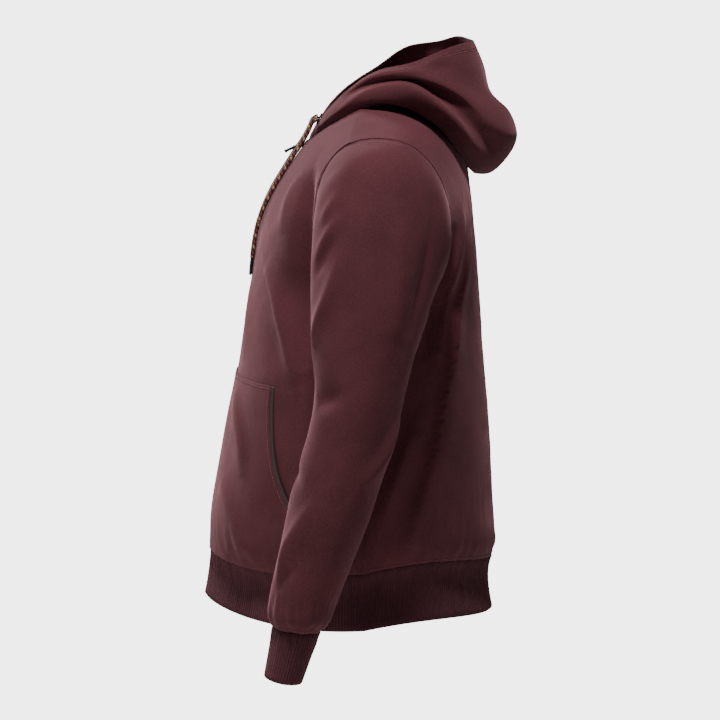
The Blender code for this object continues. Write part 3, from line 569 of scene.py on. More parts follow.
def seam_distance(grid, seam):
    """The distance from each point of a grid to the nearest point of a seam."""
    nearest = np.full(grid.shape[:-1], np.inf)
    for point in seam.reshape(-1, 3)[::2]:
        nearest = np.minimum(nearest, ((grid - point)**2).sum(axis=-1))
    return np.sqrt(nearest)


def borders(grid, tube=False):
    """The points of a grid's end rows and, on a flat piece, of its sides."""
    sides = [] if tube else [grid[:, 0], grid[:, -1]]
    return np.concatenate([grid[0], grid[-1], *sides])


def pressed(grid, folds, flip, vary, seed, tube=False, seams=None, unevenness=0.9):
    """A grid with its folds and a slow unevenness, and with its seams left where they are sewn."""
    normals = surface_normals(grid, tube)
    moved = fold_rise(grid, normals, folds, flip, vary)
    moved += (unevenness * soft_waves(grid, WAVE_SIZES[0], seed)
              + 0.45 * unevenness * soft_waves(grid, WAVE_SIZES[1], seed + 7))
    away = seam_distance(grid, borders(grid, tube) if seams is None else seams)
    return grid + normals * (moved * (1 - np.exp(-(away / SEAM_HOLD)**2)))[..., None]


def eased(grid, rounds, tube=False):
    """A grid relaxed between its borders, so that no crease runs from a corner of its outline."""
    grid = grid.copy()
    for _ in range(rounds):
        along_rows = (grid[:-2] + grid[2:]) / 2 - grid[1:-1]
        if tube:
            grid[1:-1] += 0.5 * along_rows
        else:
            grid[1:-1, 1:-1] += 0.5 * along_rows[:, 1:-1]
    return grid


def stepped(grid, seam, rise, reach, tube=False):
    """A grid with its edge at a seam raised where the seam's allowance lies under it, or sunk beside it."""
    away = seam_distance(grid, seam)
    return grid + surface_normals(grid, tube) * (rise * np.exp(-(away / reach)**4))[..., None]


def gathered(grid, row, rise, reach, tube=False):
    """A grid with small puckers along its first or last row, where it is eased onto a band."""
    away = seam_distance(grid, grid[row])
    puckers = soft_waves(grid, PUCKER_SIZE, 3.0)
    puckers += 0.6 * soft_waves(grid, SMALL_PUCKER_SIZE, 9.0)
    moved = rise * puckers * (0.25 + away / reach) * np.exp(-(away / reach)**1.3)
    return grid + surface_normals(grid, tube) * moved[..., None]


def merged(grids, tube=False):
    """Grids joined where their points are the same: points, quads, and a UV pair for each corner."""
    parts, quads, uvs, start, width = [], [], [], 0, 0.0
    for grid in grids:
        rows, columns = grid.shape[:2]
        closed = np.concatenate([grid, grid[:, :1]], axis=1) if tube else grid
        pitch = np.linalg.norm(np.diff(closed, axis=1), axis=2).mean(axis=0)
        u = width + np.concatenate([[0], np.cumsum(pitch)])
        v = chords(grid.mean(axis=1))
        width = u[-1]
        i, j = np.meshgrid(range(rows - 1), range(closed.shape[1] - 1), indexing="ij")
        near, far = start + i * columns + j, start + i * columns + (j + 1) % columns
        quads.append(np.stack([near, far, far + columns, near + columns], axis=-1).reshape(-1, 4))
        corners = [(u[j], v[i]), (u[j + 1], v[i]), (u[j + 1], v[i + 1]), (u[j], v[i + 1])]
        uvs.append(np.stack([np.stack(corner, axis=-1) for corner in corners], axis=-2).reshape(-1, 4, 2))
        parts.append(grid.reshape(-1, 3))
        start += rows * columns
    points, same = np.unique(np.round(np.concatenate(parts), 4) + 0.0, axis=0, return_inverse=True)
    return points, same.reshape(-1)[np.concatenate(quads)], np.concatenate(uvs) * MM


def border_loops(quads):
    """The loops of border edges of a skin, each edge with its quad and its place in the quad."""
    edges = {}
    for number, quad in enumerate(quads.tolist()):
        for place in range(4):
            edges[quad[place], quad[(place + 1) % 4]] = (number, place)
    border = {a: (b, *edges[a, b]) for a, b in edges if (b, a) not in edges}
    loops = []
    while border:
        start, loop = next(iter(border)), []
        here = start
        while here in border:
            loop.append((here, *border[here]))
            here = border.pop(here)[0]
        loops.append(loop)
    return loops


def cloth_wall(name, grids, look, tube=False, thick=WALL, draw=None, edge=4):
    """A cloth piece with rounded edges: a wall behind its outer grids, drawn back from its seams."""
    points, quads, uvs = merged(grids, tube)
    corners = points[quads]
    facing = np.cross(corners[:, 2] - corners[:, 0], corners[:, 3] - corners[:, 1])
    normals = np.zeros(points.shape)
    for corner in range(4):
        np.add.at(normals, quads[:, corner], facing)
    normals = unit(normals)
    loops = border_loops(quads)
    beyond = []
    for loop in loops:
        line = np.array([step[0] for step in loop])
        run = points[np.roll(line, -1)] - points[np.roll(line, 1)]
        beyond.append(unit(np.cross(run, normals[line])))
    draw = thick / 2 - 0.1 if draw is None else draw
    for loop, away in zip(loops, beyond):
        points[[step[0] for step in loop]] -= away * draw
    count = len(points)
    inner = points - normals * thick
    everything, faces, face_uvs = [points, inner], [quads, quads[:, ::-1] + count], [uvs, uvs[:, ::-1]]
    total = 2 * count
    for loop, away in zip(loops, beyond):
        line = np.array([step[0] for step in loop])
        rings = [line]
        for k in range(1, edge):
            angle = math.pi * k / edge
            centre, half_wall = (points[line] + inner[line]) / 2, (points[line] - inner[line]) / 2
            everything.append(centre + math.cos(angle) * half_wall + math.sin(angle) * thick / 2 * away)
            rings.append(np.arange(total, total + len(line)))
            total += len(line)
        rings.append(line + count)
        here = np.array([uvs[quad, place] for _, _, quad, place in loop])
        there = np.array([uvs[quad, (place + 1) % 4] for _, _, quad, place in loop])
        for near, far in zip(rings, rings[1:]):
            faces.append(np.stack([np.roll(near, -1), near, far, np.roll(far, -1)], axis=-1))
            face_uvs.append(np.stack([there, here, here, there], axis=1))
    return plain_mesh(name, np.concatenate(everything), np.concatenate(faces).tolist(), look,
                      np.concatenate(face_uvs))


def worked(tree, operation, *values):
    """The result of a math node."""
    return add(tree, "ShaderNodeMath", dict(enumerate(values)), operation=operation).outputs[0]


def brushed_jersey(name, colour, shade, sheen):
    """Sweatshirt jersey, brushed: a matt deep red face of fine upright wales, with a short nap that
    lights up where the cloth turns away, and a slight unevenness in the dye. The wales of the real cloth
    are 0.9 mm apart and are drawn at 1.4 mm, the finest that shows."""
    look, tree, shader = new_look(name, {
        "Roughness": 0.9, "Specular IOR Level": 0.2, "Sheen Weight": sheen, "Sheen Roughness": 0.4,
        "Sheen Tint": linear("#E0A2AC")})
    cloth = add(tree, "ShaderNodeUVMap", uv_map="cloth")
    wales = add(tree, "ShaderNodeTexWave",
                {"Vector": cloth.outputs["UV"], "Scale": WAVES_A_METRE / (WALE_PITCH * MM),
                 "Distortion": 1.2, "Detail": 1.0, "Detail Scale": 0.5}, bands_direction="X")
    nap, dye = specks(tree, 620.0, 3.0), specks(tree, 16.0, 4.0)
    speckle, patch = (add(tree, "ShaderNodeMapRange", {"Value": grain, "From Min": 0.3, "From Max": 0.7,
                                                       "To Max": most}).outputs["Result"]
                      for grain, most in ((nap, 0.6), (dye, 0.4)))
    tone = add(tree, "ShaderNodeMix", {"Factor": worked(tree, "ADD", speckle, patch)}, data_type="RGBA")
    tone.inputs[6].default_value = linear(shade)
    tone.inputs[7].default_value = linear(colour)
    tree.links.new(tone.outputs[2], shader.inputs["Base Color"])
    fuzz = worked(tree, "MULTIPLY", nap, 0.5)
    relief(tree, shader, worked(tree, "MULTIPLY_ADD", wales.outputs["Fac"], 0.12, fuzz), 0.9, 0.0006)
    return look


def sewn(piece, *nodes, cut, area, slot="jersey", held="gathered"):
    """Put a cloth piece on the garment, in its solid's place. The size it was cut to, in metres, is not used.
    """
    fitted(piece, slot, *nodes)


jersey = brushed_jersey("burgundy_brushed_jersey", "#643339", "#48252B", 0.28)
arm_loop, arm_turns = armhole_loop()
neck_places = spread((0, 2, 4), STEPS[NECK_CORNER:SHOULDER])
side_edge = along(SIDE_SEAM, HEM_BOTTOM, UNDERARM)
half_arm = len(arm_loop) // 2
front_middle = np.vstack([along(ZIP_EDGE, HEM_BOTTOM, NECK_CORNER)[:-1], neckline(neck_places)])
front_side = np.vstack([side_edge[:-1], arm_loop[:half_arm + 1]])
back_middle = np.vstack([along(BACK_MIDDLE, HEM_BOTTOM, NECK_CORNER)[:-1], neckline(8 - neck_places)])
back_side = np.vstack([side_edge[:-1], arm_loop[:1], arm_loop[:half_arm - 1:-1]])


def front_shares(level):
    """The places of a front's columns, with one along the pocket's edge."""
    edge = np.interp(level, LEVELS, POCKET_EDGE)
    inside = np.linspace(0, edge, POCKET_COLUMNS + 1)
    return np.append(inside, np.linspace(edge, 1, FRONT_COLUMNS - POCKET_COLUMNS + 1)[1:])


front_half = half_body(front_middle, front_side, FRONT_HANDLES, front_shares)
even_shares = np.linspace(0, 1, FRONT_COLUMNS + 1)
back_half = half_body(back_middle, back_side, BACK_HANDLES, lambda level: even_shares)
band_rows = STEPS[0]
for half in (front_half, back_half):
    half[band_rows:] = eased(half[band_rows:], EASE_ROUNDS)
fronts = {}
for side, flip, vary, seed in (("left", 1, 0.0, 0.0), ("right", -1, 0.2, 31.0)):
    grid = front_half[band_rows:] if flip > 0 else mirrored(front_half[band_rows:])
    grid = pressed(grid, FRONT_FOLDS, flip, vary, seed)
    grid = stepped(grid, arm_loop * (flip, 1, 1), SEAM_RAISE, SEAM_REACH)
    fronts[side] = gathered(grid, 0, *BODY_GATHER)
    front = cloth_wall("front_" + side + "_cloth", [fronts[side]], jersey)
    sewn(front, "front_" + side, cut=FRONT_CUT, area=FRONT_AREA)
back_notch = sum(STEPS[HEM_SEAM:NECK_CORNER])
halves = []
for flip, vary in ((1, 0.0), (-1, 0.2)):
    half = back_half[band_rows:] * (flip, 1, 1)
    seams = np.concatenate([half[0], half[-1], half[:, -1], half[back_notch:, 0]])
    half = half[:, ::-1] if flip > 0 else half
    half = pressed(half, BACK_FOLDS, flip, vary, 13.0, seams=seams)
    half = stepped(half, arm_loop * (flip, 1, 1), SEAM_RAISE, SEAM_REACH)
    half = gathered(half, 0, *BODY_GATHER)
    half[:back_notch + 1, -1 if flip > 0 else 0, 0] = 0
    halves.append(half)
back = cloth_wall("back_cloth", halves, jersey)
sewn(back, "back", cut=BACK_CUT, area=BACK_AREA)

# ---- Sleeves -----------------------------------------------------------------------------------
# Set-in sleeves of the same jersey, one piece each with a seam under the arm, filled by the arm and a
# little bent at the elbow. They are eased onto the cuffs and blouse over them.
SLEEVE = (
    # front y, z      back y, z       outer x, z    inner x, z
    ((-74, -150), (98, -165), (262, -66), (197, -268)),
    ((-77, -200), (88, -200), (290, -115), (203, -282)),
    ((-78, -250), (72, -245), (307, -185), (206, -302)),
    ((-77, -300), (57, -295), (316, -260), (208, -332)),
    ((-73, -355), (42, -355), (322, -335), (212, -375)),
    ((-80, -402), (28, -410), (325, -400), (218, -420)),
    ((-98, -462), (9, -475), (326, -465), (222, -475)),
    ((-110, -518), (-7, -525), (325, -522), (226, -530)),
    ((-120, -570), (-25, -573), (321, -570), (228, -576)),
    ((-130, -620), (-46, -626), (315, -622), (230, -627)),
    ((-132, -643), (-54, -650), (312, -645), (230, -649)),
    ((-126, -656), (-66.5, -663), (305, -659), (235, -661)))
CUFF_END = ((-137, -720), (-90, -729), (303, -725), (236, -726))
SLEEVE_FOLDS = (
    (-7.0, 16, 12, ((244, 68, -85), (262, 74, -117), (274, 71, -179), (285, 56, -240), (297, 39, -294))),
    (5.0, 14, 16, ((290, 31, -133), (297, 36, -176), (302, 33, -238), (309, 24, -293))),
    (-3.0, 9, 9, ((205, -62, -93), (235, -54, -85), (256, -38, -78))),
    (4.5, 8, 9, ((265, -66, -148), (271, -53, -126), (272, -41, -106))),
    (5.5, 8, 10, ((269, -71, -194), (279, -58, -165), (284, -37, -130))),
    (-5.0, 10, 10, ((270, -72, -215), (282, -62, -188), (290, -45, -160))),
    (7.5, 10, 12, ((274, -74, -305), (283, -71, -277), (298, -53, -226), (296, -38, -176))),
    (-8.0, 16, 11, ((288, -71, -369), (311, -53, -361), (320, -35, -354))),
    (10.0, 22, 10, ((324, -63, -479), (312, -94, -525), (301, -110, -559), (297, -120, -604))),
    (-5.5, 10, 11, ((296, -121, -607), (306, -110, -586), (314, -97, -565))),
    (9.0, 22, 8, ((280, 30, -380), (300, 10, -430), (315, -20, -470))),
    (-6.0, 12, 14, ((250, -96, -440), (280, -92, -462), (305, -78, -470))),
    (-6.5, 14, 11, ((225, -60, -350), (240, -76, -372), (262, -76, -385))),
    (5.5, 16, 11, ((255, 62, -230), (238, 50, -300), (230, 34, -360))))
SLEEVE_CUT, SLEEVE_AREA = (0.52, 0.62), 0.22
SLEEVE_GATHER = (4.2, 30.0)       # the rise and reach of the puckers over the cuff


def ring(row, turns):
    """A sleeve's section: an oval through its front, back, outer and inner edge points."""
    (front_y, front_z), (back_y, back_z), (outer_x, outer_z), (inner_x, inner_z) = row
    middle_x, middle_y = (outer_x + inner_x) / 2, (front_y + back_y) / 2
    front, back = np.array([middle_x, front_y, front_z]), np.array([middle_x, back_y, back_z])
    outer, inner = np.array([outer_x, middle_y, outer_z]), np.array([inner_x, middle_y, inner_z])
    middle = (front + back + outer + inner) / 4
    angles = 2 * math.pi * np.asarray(turns)[:, None]
    return middle + np.cos(angles) * (inner - outer) / 2 + np.sin(angles) * (front - back) / 2


even_turns = np.linspace(0, 1, 24, endpoint=False)
ring_middles = [np.mean(ARMHOLE, axis=0)] + [ring(row, even_turns).mean(axis=0) for row in SLEEVE]
sleeve_knots = chords(ring_middles) + np.arange(len(ring_middles)) * 8
sleeve_steps = [math.ceil(gap / CLOTH_STEP) for gap in np.diff(chords(ring_middles))]
rings = np.array([arm_loop] + [ring(row, arm_turns) for row in SLEEVE])
sleeve_plain = smooth(rings, sleeve_knots, spread(sleeve_knots, sleeve_steps))[:, ::-1]
sleeves = {}
for side, flip, vary, seed in (("left", 1, 0.0, 71.0), ("right", -1, 0.2, 93.0)):
    grid = sleeve_plain if flip > 0 else mirrored(sleeve_plain)
    grid = pressed(grid, SLEEVE_FOLDS, flip, vary, seed, tube=True)
    grid = stepped(grid, grid[0], SEAM_SINK, SEAM_REACH, tube=True)
    sleeves[side] = gathered(grid, -1, *SLEEVE_GATHER, tube=True)
    sleeve = cloth_wall("sleeve_" + side + "_cloth", [sleeves[side]], jersey, tube=True)
    sewn(sleeve, "sleeve_" + side, cut=SLEEVE_CUT, area=SLEEVE_AREA)

# ---- Hem band and cuffs ------------------------------------------------------------------------
# Tubes of two-by-two rib knitted from the same yarn, elastic and a little darker in their furrows.
# The hem band is about 70 mm deep and open at the zip, and each cuff is about 68 mm deep.
RIB_PITCH, RIB_RISE = 4.0, 0.9
RIB_COLUMNS = 6       # mesh columns to a rib and its furrow
RIB_FIRMNESS = 1.6    # how flat the tops of the ribs and the floors of the furrows are
RIB_WALL = 1.8
HEM_ROWS, HEM_GATHER = 11, (3.0, 16.0)
CUFF_ROWS, CUFF_GATHER = 10, (3.4, 14.0)
HEM_CUT, HEM_AREA = (1.20, 0.072), 0.085
CUFF_CUT, CUFF_AREA = (0.24, 0.07), 0.0165


def rib_knit(name, colour, shade):
    """Two-by-two rib: soft matt cotton with elastane, its furrows in shade and fine wales on each rib."""
    return brushed_jersey(name, colour, shade, 0.3)


def node_group(name, inputs):
    """Geometry nodes with further inputs: the tree, its input node, and those inputs' identifiers."""
    tree = bpy.data.node_groups.new(name, "GeometryNodeTree")
    tree.interface.new_socket("Geometry", in_out="INPUT", socket_type="NodeSocketGeometry")
    sockets = {title: tree.interface.new_socket(title, in_out="INPUT", socket_type=kind).identifier
               for title, kind in inputs.items()}
    tree.interface.new_socket("Geometry", in_out="OUTPUT", socket_type="NodeSocketGeometry")
    return tree, add(tree, "NodeGroupInput"), sockets


def hand_out(tree, geometry, look):
    """End a node group: make its geometry real and give it its material."""
    real = add(tree, "GeometryNodeRealizeInstances", {"Geometry": geometry})
    painted = add(tree, "GeometryNodeSetMaterial", {"Geometry": real.outputs[0], "Material": look})
    add(tree, "NodeGroupOutput", {"Geometry": painted.outputs[0]})


def ribs_tree():
    """Geometry nodes that raise ribs along u on the outer face of a band."""
    tree, source, sockets = node_group("rib_knit_ridges", {
        "Rib pitch": "NodeSocketFloat", "Rib rise": "NodeSocketFloat", "Knit": "NodeSocketMaterial"})
    place, outside = (add(tree, "GeometryNodeInputNamedAttribute", {"Name": name},
                          data_type="FLOAT").outputs["Attribute"] for name in ("across", "outside"))
    turns = worked(tree, "DIVIDE", place, source.outputs["Rib pitch"])
    wave = worked(tree, "COSINE", worked(tree, "MULTIPLY", turns, 2 * math.pi))
    rounded = worked(tree, "TANH", worked(tree, "MULTIPLY", wave, RIB_FIRMNESS))
    height = worked(tree, "MULTIPLY_ADD", rounded, 0.5, 0.45)
    lift = worked(tree, "MULTIPLY", height, source.outputs["Rib rise"])
    normal = add(tree, "GeometryNodeInputNormal")
    move = add(tree, "ShaderNodeVectorMath",
               {0: normal.outputs[0], "Scale": worked(tree, "MULTIPLY", lift, outside)}, operation="SCALE")
    raised = add(tree, "GeometryNodeSetPosition",
                 {"Geometry": source.outputs["Geometry"], "Offset": move.outputs[0]})
    hand_out(tree, raised.outputs[0], source.outputs["Knit"])
    return tree, sockets


def grown(piece, tree, values):
    """Run geometry nodes on a piece with values by socket, and keep the result as a plain mesh."""
    modifier = piece.modifiers.new("grown", "NODES")
    modifier.node_group = tree
    for socket, value in values.items():
        modifier[socket] = value
    graph = bpy.context.evaluated_depsgraph_get()
    mesh = bpy.data.meshes.new_from_object(piece.evaluated_get(graph))
    piece.modifiers.clear()
    piece.data = mesh
    mesh.shade_smooth()
    return piece


def evened(grid, tube):
    """A band's rows read at even places along them, so many to a rib."""
    closed = np.concatenate([grid, grid[:, :1]], axis=1) if tube else grid
    length = chords(closed[0])
    ribs = round(length[-1] / RIB_PITCH)
    places = np.linspace(0, length[-1], ribs * RIB_COLUMNS + 1)
    rows = []
    for row in closed:
        run = chords(row)
        rows.append(read_at(places * run[-1] / length[-1], run, row))
    rows = np.array(rows)
    return (rows[:, :-1] if tube else rows), ribs


ridges, ridge_sockets = ribs_tree()
rib = rib_knit("burgundy_rib_knit", "#5A3037", "#3A1E24")


def ribbed_band(name, grid, tube):
    """A band of rib knit: a wall whose outer face carries the ribs."""
    grid, ribs = evened(grid, tube)
    band = cloth_wall(name, [grid], rib, tube=tube, thick=RIB_WALL)
    mesh = band.data
    count = len(mesh.vertices)
    uv = np.zeros(len(mesh.loops) * 2, np.float32)
    mesh.uv_layers["cloth"].data.foreach_get("uv", uv)
    corner = np.zeros(len(mesh.loops), np.int32)
    mesh.loops.foreach_get("vertex_index", corner)
    width = uv[::2].max()
    turn = 2 * math.pi * ribs * uv[::2] / width
    across = np.zeros(count, np.float32)
    across[corner] = np.arccos(np.clip(np.cos(turn), -1, 1)) / (2 * math.pi) * RIB_PITCH
    outside = np.zeros(count, np.float32)
    outside[:grid.shape[0] * grid.shape[1]] = 1
    mesh.attributes.new("across", "FLOAT", "POINT").data.foreach_set("value", across)
    mesh.attributes.new("outside", "FLOAT", "POINT").data.foreach_set("value", outside)
    return grown(band, ridges, {ridge_sockets["Rib pitch"]: RIB_PITCH,
                                ridge_sockets["Rib rise"]: RIB_RISE * MM, ridge_sockets["Knit"]: rib})


band_picks = np.linspace(0, band_rows, HEM_ROWS).round().astype(int)
hem_sides = [half[band_picks] for half in (front_half, back_half)]
hem_grid = np.hstack([hem_sides[0], hem_sides[1][:, -2::-1], (hem_sides[1] * (-1, 1, 1))[:, 1:],
                      mirrored(hem_sides[0])[:, 1:]])
hem = ribbed_band("hem_band_knit", gathered(hem_grid, -1, *HEM_GATHER), False)
sewn(hem, "hem_band", slot="rib", cut=HEM_CUT, area=HEM_AREA, held="stretched")
cuff_share = np.linspace(0, 1, CUFF_ROWS)[:, None, None]
cuff_plain = sleeve_plain[-1] * (1 - cuff_share) + ring(CUFF_END, arm_turns)[::-1] * cuff_share
for side in ("left", "right"):
    grid = gathered(cuff_plain, 0, *CUFF_GATHER, tube=True)
    cuff = ribbed_band("cuff_" + side + "_knit", grid if side == "left" else mirrored(grid), True)
    sewn(cuff, "cuff_" + side, slot="rib", cut=CUFF_CUT, area=CUFF_AREA, held="stretched")

# ---- Hood --------------------------------------------------------------------------------------
# A hood of two halves of the jersey, one layer thick, sewn down its middle and to the neck, and lying
# down on the back. Its face edge is turned in to hold the drawcord, and sewn 9 and 12 mm from the fold.
HOOD_PLACES = (0, 0.25, 0.5, 0.65, 0.8, 0.9, 0.96, 1)
HOOD = (
    # zip corner, collar, neck side, shoulder, blade, back quarter, near back, back
    ((5.5, -83.7, -60.5), (55, -56, -36), (85.5, -12, -10), (89, 30, -5),
     (74, 68, -11), (46, 88, -21), (18, 96, -29), (0, 98, -31)),
    ((7, -83, -58), (58, -55, -33), (91, -8, -7.5), (107, 44, -12),
     (104, 86, -38.5), (75, 117, -77), (38, 130, -99), (0, 134.5, -106)),
    ((12, -80, -52), (66, -52, -25), (95, 3, 13), (113, 48, 15),
     (122, 92, -12), (98, 131, -62), (48, 149, -97), (0, 153, -106)),
    ((14, -77, -47), (62, -47, -12), (80, 0, 17), (92, 44, 22),
     (95, 97, -5), (80, 141, -50), (45, 165, -79), (0, 174, -90)),
    ((14, -76, -45), (61, -45, -9), (80, 0, 19), (95, 47, 24),
     (95, 104, 0), (82, 150, -38), (50, 180, -54), (0, 191, -56)),
    ((14, -75, -43), (60, -43, -6), (83, 0, 21), (101, 50, 26),
     (102, 102, 8), (83, 143, -17), (48, 171, -26), (0, 182, -26)),
    ((13, -73, -41), (58, -41, -2), (86, 4, 28), (101, 54, 32),
     (97, 98, 25), (72, 130, 10), (40, 150, 3), (0, 156, 2)),
    ((12, -72, -39), (56, -40, 0), (82, 7, 32), (96, 50, 38),
     (91, 88, 49), (68, 118, 50), (36, 138, 42), (0, 147, 36)),
    ((12, -70, -37), (53, -38, 2), (77, 6, 34), (90, 48, 43.5),
     (83, 90, 60), (61, 114, 67), (32, 128, 68), (0, 133, 69)))
# How much higher the right half's face edge lies at each place, and each row's share of that.
RIGHT_LIFT = (0, -1, -3, 14, 5, 5, 2, 0)
LIFT_SHARES = (0, 0, 0, 0, 0, 0.1, 0.4, 0.8, 1)
HOOD_SPLITS = (6, 6, 7, 7, 11, 11, 14, 16)
HOOD_STEPS = (2, 5, 7, 8, 4, 6, 8, 7, 6)
HOOD_FOLDS = (
    (-3.0, 8, 12, ((100, 70, 36), (98, 88, 40), (90, 104, 44))),
    (2.5, 10, 8, ((92, 20, 30), (104, 60, 32), (104, 96, 18))),
    (-3.0, 9, 9, ((70, 140, -40), (60, 150, -60), (48, 156, -76))),
    (3.0, 12, 16, ((98, 20, -4), (114, 60, 8), (120, 96, -16))))
HOOD_CUT, HOOD_AREA = (0.30, 0.24), 0.056


def hood_half(neck, splits, steps, lifted):
    """Half the hood, a row of points from the neck seam up to the face edge, which the right half lifts."""
    places = spread(range(len(splits) + 1), splits)
    rows = [neck(places)]
    for fold, share in zip(HOOD, LIFT_SHARES):
        fold = [(x, y, z + lifted * share * lift) for (x, y, z), lift in zip(fold, RIGHT_LIFT)]
        (x, y, z) = fold[-2]
        points = fold + [(-x, y, z)]
        knots = chords(points)
        rows.append(smooth(points, knots, np.interp(places / places[-1], HOOD_PLACES, knots[:-1])))
    columns = []
    for points in np.stack(rows, axis=1):
        knots = chords(points)
        columns.append(smooth(points, knots, spread(knots, steps)))
    return np.stack(columns, axis=1)


hoods = {}
for side, flip, vary, seed in (("left", 1, 0.0, 111.0), ("right", -1, 0.3, 127.0)):
    grid = hood_half(neckline, HOOD_SPLITS, HOOD_STEPS, flip < 0)
    grid = grid if flip > 0 else mirrored(grid)
    seams = np.concatenate([grid[0], grid[:, 0], grid[:, -1]])
    hoods[side] = pressed(grid, HOOD_FOLDS, flip, vary, seed, seams=seams, unevenness=1.2)
    hood = cloth_wall("hood_" + side + "_cloth", [hoods[side]], jersey)
    sewn(hood, "hood_" + side, cut=HOOD_CUT, area=HOOD_AREA, held="draped")

# ---- Pockets -----------------------------------------------------------------------------------
# Two patch pockets of the jersey, sewn to the fronts along the zip, the top and the hem seam. The
# slanted edge for the hand is bound with a dark grey-brown tape 5 mm wide.
POCKET_CUT, POCKET_AREA = (0.21, 0.27), 0.045
TAPE_CUT, TAPE_AREA = (0.30, 0.010), 0.0016
LIFT = 0.3            # between the pocket and the front
POCKET_PUFF = 2.5     # how far the pocket's middle stands out at its open edge
POCKET_DRAW = 0.4     # how far the pocket's edges are drawn back
TAPE_ACROSS = (-1.2, 1.0, 3.2, 5.2)     # the tape's threads, from the pocket's edge outward
TAPE_START, TAPE_SINK, TAPE_WALL = 0.12, 0.8, 1.2
TWILL_PITCH = 1.0


def twill_tape(name, colour):
    """Woven twill tape: a flat matt ribbon with fine slanted ribs."""
    look, tree, shader = new_look(name, {"Base Color": linear(colour), "Roughness": 0.75})
    cloth = add(tree, "ShaderNodeUVMap", uv_map="cloth")
    twill = add(tree, "ShaderNodeTexWave", {"Vector": cloth.outputs["UV"],
                                            "Scale": WAVES_A_METRE / (TWILL_PITCH * MM)},
                bands_direction="DIAGONAL")
    relief(tree, shader, twill.outputs["Fac"], 0.5, 0.0003)
    return look


pocket_tape = twill_tape("grey_brown_twill_tape", "#3A302E")
pocket_rows = sum(STEPS[HEM_SEAM:POCKET_TOP])
pockets = {}
for side in ("left", "right"):
    front = fronts[side]
    rise = surface_normals(front)
    order = slice(None) if side == "left" else slice(None, None, -1)
    front, rise = front[:pocket_rows + 1, order], rise[:pocket_rows + 1, order]
    panel, out = front[:, 1:POCKET_COLUMNS + 1], rise[:, 1:POCKET_COLUMNS + 1]
    row_share = np.sin(np.linspace(0, math.pi, len(panel)))[:, None]
    puff = POCKET_PUFF * row_share * np.linspace(0, 1, POCKET_COLUMNS)[None]**2
    panel = panel + out * (LIFT + WALL + puff)[..., None]
    pockets[side] = panel[:, order]
    pocket = cloth_wall("pocket_" + side + "_cloth", [pockets[side]], jersey, draw=POCKET_DRAW)
    sewn(pocket, "pocket_" + side, cut=POCKET_CUT, area=POCKET_AREA)
    first = round(len(front) * TAPE_START)
    line = panel[first:, -1]
    away = unit(front[first:, POCKET_COLUMNS + 1] - front[first:, POCKET_COLUMNS])
    share = np.array(TAPE_ACROSS)
    tape = line[:, None] + away[:, None] * share[None, :, None] - out[first:, -1][:, None] * TAPE_SINK
    tape_piece = cloth_wall("pocket_tape_" + side + "_twill", [tape[:, order]], pocket_tape,
                            thick=TAPE_WALL, draw=0)
    sewn(tape_piece, "pocket_tape_" + side, slot="pocket_tape", cut=TAPE_CUT, area=TAPE_AREA,
         held="stretched")

# ---- Zip ---------------------------------------------------------------------------------------
# A closed coil zip on woven tapes that are sewn behind the fronts' edges. Only the teeth and a thread
# of the tape show between the edges. The slider stays at the top of the chain.
TEETH_PITCH, TEETH_SINK = 1.8, 1.1
CHAIN_STOP = 0.8      # how much of the zip edge's last step the chain takes
TOOTH_HALF, TOOTH_TAPER = (0.55, 2.5, 0.75), 0.86
ZIP_TAPE_CUT, ZIP_TAPE_AREA = (0.66, 0.014), 0.0085
ZIP_TAPE_WALL = 0.8
# Three lines of the tape: how far each lies inward from the zip edge, and how far behind the cloth's face.
ZIP_TAPE_LINES = ((0, 2.3), (5, 2.35), (11, 2.4))
MIDDLE_GAP = 0.4      # between the zip's middle and each tape


def path_tree(name):
    """Geometry nodes that lay one small form along a path at an even spacing, facing the path's "out"."""
    tree, source, sockets = node_group(name, {
        "Spacing": "NodeSocketFloat", "Form": "NodeSocketObject", "Finish": "NodeSocketMaterial"})
    curve = add(tree, "GeometryNodeMeshToCurve", {"Mesh": source.outputs["Geometry"]})
    even = add(tree, "GeometryNodeResampleCurve",
               {"Curve": curve.outputs[0], "Length": source.outputs["Spacing"]}, mode="LENGTH")
    tangent = add(tree, "GeometryNodeInputTangent")
    out = add(tree, "GeometryNodeInputNamedAttribute", {"Name": "out"}, data_type="FLOAT_VECTOR")
    turn = add(tree, "FunctionNodeAlignRotationToVector", {"Vector": tangent.outputs[0]}, axis="X")
    face_out = add(tree, "FunctionNodeAlignRotationToVector",
                   {"Rotation": turn.outputs[0], "Vector": out.outputs["Attribute"]},
                   axis="Z", pivot_axis="X")
    form = add(tree, "GeometryNodeObjectInfo", {"Object": source.outputs["Form"]})
    laid = add(tree, "GeometryNodeInstanceOnPoints", {"Points": even.outputs[0],
                                                      "Instance": form.outputs["Geometry"],
                                                      "Rotation": face_out.outputs[0]})
    hand_out(tree, laid.outputs[0], source.outputs["Finish"])
    return tree, sockets


def laid_along(name, paths, form, spacing, look):
    """Copies of a small form along paths, each a pair of points and outward directions."""
    points, outs, edges, start = [], [], [], 0
    for path, out in paths:
        points.append(path)
        outs.append(unit(out))
        edges += [(start + i, start + i + 1) for i in range(len(path) - 1)]
        start += len(path)
    mesh = bpy.data.meshes.new(name)
    mesh.from_pydata((np.concatenate(points) * MM).tolist(), edges, [])
    mesh.attributes.new("out", "FLOAT_VECTOR", "POINT").data.foreach_set(
        "vector", np.concatenate(outs).astype(np.float32).ravel())
    return grown(in_scene(name, mesh), path_nodes, {path_sockets["Spacing"]: spacing * MM,
                                                    path_sockets["Form"]: form,
                                                    path_sockets["Finish"]: look})


